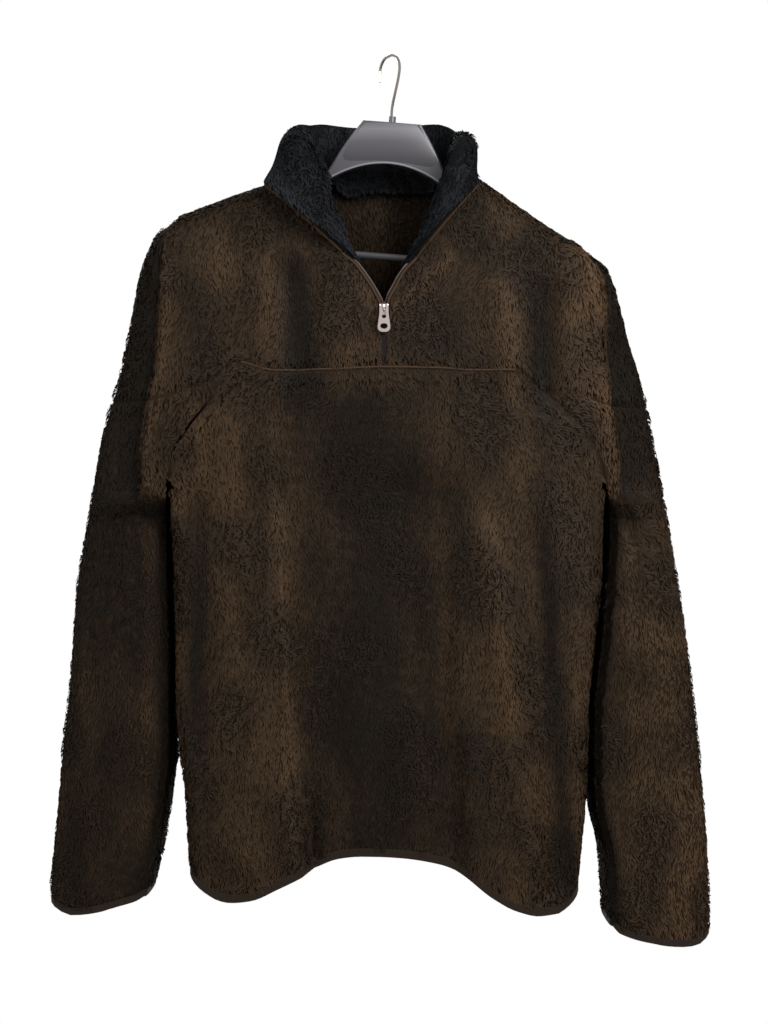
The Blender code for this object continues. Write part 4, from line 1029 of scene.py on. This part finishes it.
def coil(name, line, pitch, size, finish):
    """Zip teeth as one mesh: a small rounded block at each step of a line, turned across it."""
    line = np.asarray(line, float)
    steps = np.concatenate([[0], np.cumsum(np.linalg.norm(np.diff(line, axis=0), axis=-1))])
    at = np.arange(pitch / 2, steps[-1], pitch)
    places = np.stack([np.interp(at, steps, line[:, k]) for k in range(3)], -1)
    along = unit(np.stack([np.interp(at, steps, np.gradient(line[:, k], steps)) for k in range(3)], -1))
    across = unit(np.cross(along, [0, -1.0, 0]))
    out = np.cross(along, across)
    corner = np.array([(a, b, c) for c in (-1, 1) for b in (-1, 1) for a in (-1, 1)], float)
    shrink = np.where(corner[:, 2:] > 0, 0.7, 1.0)
    half = np.array(size) / 2
    points = places[:, None] + (corner[:, 0:1] * shrink * half[0]) * across[:, None] \
        + (corner[:, 1:2] * shrink * half[1]) * along[:, None] + (corner[:, 2:] * half[2]) * out[:, None]
    quads = np.array([[0, 1, 3, 2], [4, 6, 7, 5], [0, 4, 5, 1], [2, 3, 7, 6], [0, 2, 6, 4], [1, 5, 7, 3]])
    faces = (np.arange(len(at))[:, None, None] * 8 + quads).reshape(-1, 4)
    return add(name, from_arrays(name, points.reshape(-1, 3), faces, smooth=False), finish)


def zip_groove(u, v):
    """The pile that closes over the shut part of the zip, with a groove along its middle."""
    x, z = ZIP_X - 6.5 + 13 * u, -316 + 46 * v
    return x, front_y(x, z) + 2.6 * np.exp(-((x - ZIP_X) / 1.6) ** 2), z


def painted_light_and_groove_shade(p):
    """Painted shade in the groove over the closed zip, on top of the cloth's painted light and shade."""
    return painted_light_and_shade(p) - 0.4 * np.exp(-((p[..., 0] - ZIP_X) / 2.5) ** 2)


groove = [(zip_groove, np.linspace(0, 1, 9), np.linspace(0, 1, 13), False)]
pile("zip_groove_pile", groove, BROWN_PILE, 1.3, 5.5, depth=1.2, seed=33, tone=painted_light_and_groove_shade,
     short_edge=False)
z = np.linspace(-266, -312, 40)
closed = np.stack([ZIP_X + 0 * z, front_y(ZIP_X, z) + 1.4, z], -1)
item = coil("zip_teeth_closed", closed, 1.1, (3.4, 0.8, 1.6), TEETH)
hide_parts("zip_chain")
for side, s in SIDES.items():
    line = zip_line(side)
    coil("zip_teeth_" + side, line + [-s * 2.6, 1.4, 0.0], 1.1, (2.0, 0.7, 1.4), TEETH)
x = np.linspace(-142, 122, 120)
edge = np.stack([x, front_y(x, yoke_seam(x)) + 1.1, yoke_seam(x) - 0.6], -1)
tube("yoke_seam_edge", edge, CORD, PIPING)


CROWN_TOP = (4.0, -65.6)   # X and height of the middle of the crown's top edge


def tilted(a, b):
    """X and height of a place beside (a) and above (b) the top edge's middle, on the tilted hanger."""
    return (CROWN_TOP[0] + a * math.cos(TILT) + b * math.sin(TILT),
            CROWN_TOP[1] - a * math.sin(TILT) + b * math.cos(TILT))


def crown(u, v):
    """The crown's front face, a little convex: from its straight top edge down to the arch."""
    a = (2 * u - 1) * (28.6 + 31.6 * v)
    x, z = tilted(a, -0.6 - v * (40.4 + 12.6 * (a / 61) ** 2))
    swell = 2.2 * np.sin(np.pi * np.clip(u, 0, 1)) ** 0.7
    return x, -4.9 - swell * np.sin(np.pi * np.clip(0.12 + 0.88 * v, 0, 1)) ** 0.7, z


face = [(crown, np.linspace(0, 1, 9), np.linspace(0, 1, 7), False)]
shell("hanger_crown_face", face, CROWN, parts=4, depth=0.0, wall=0.4)
a = np.linspace(-60, 60, 61)
x, z = tilted(a, -40.9 - 20.5 * (a / 60) ** 2)   # the arch, a parabola
tube("hanger_lip", np.stack([x, 0 * a - 5.2, z], -1), 1.2, LIP)


world = bpy.data.worlds.new("white_studio")   # white behind the object, and a softer white light on it
bpy.context.scene.world = world
world.use_nodes = True
nodes, links = world.node_tree.nodes, world.node_tree.links
seen = nodes.new("ShaderNodeLightPath")
soft = nodes["Background"]
soft.inputs["Color"].default_value = (1, 1, 1, 1)
soft.inputs["Strength"].default_value = 0.4
white = nodes.new("ShaderNodeBackground")
white.inputs["Color"].default_value = (1, 1, 1, 1)
white.inputs["Strength"].default_value = 1.0
mixed = nodes.new("ShaderNodeMixShader")
links.new(seen.outputs["Is Camera Ray"], mixed.inputs["Fac"])
links.new(soft.outputs["Background"], mixed.inputs[1])
links.new(white.outputs["Background"], mixed.inputs[2])
links.new(mixed.outputs["Shader"], nodes["World Output"].inputs["Surface"])


def lamp(name, place, aim, size, power):
    """A square soft light that looks at a point."""
    data = bpy.data.lights.new(name, "AREA")
    data.size, data.energy = size, power
    item = bpy.data.objects.new(name, data)
    bpy.context.scene.collection.objects.link(item)
    item.location = place
    away = np.array(place) - np.array(aim)
    fall = math.acos(away[2] / np.linalg.norm(away))
    item.rotation_euler = (fall, 0, math.atan2(away[1], away[0]) + math.pi / 2)


MIDDLE = (0, 0, -0.45)   # of the garment, in metres
lamp("window", (1.2, -1.6, 0.5), MIDDLE, 1.4, 62)
lamp("left_fill", (-1.5, -1.4, 0.4), MIDDLE, 1.2, 26)
lamp("back_fill", (-0.5, 2.0, 0.5), MIDDLE, 1.4, 30)
camera = bpy.data.objects.new("camera", bpy.data.cameras.new("camera"))
bpy.context.scene.collection.objects.link(camera)
camera.location, camera.rotation_euler = (-0.004, -1.5, -0.4545), (math.pi / 2, 0, 0)
camera.data.sensor_fit, camera.data.sensor_height, camera.data.lens = "VERTICAL", 36, 52.7
bpy.context.scene.camera = camera
bpy.context.scene.view_settings.view_transform = "Standard"
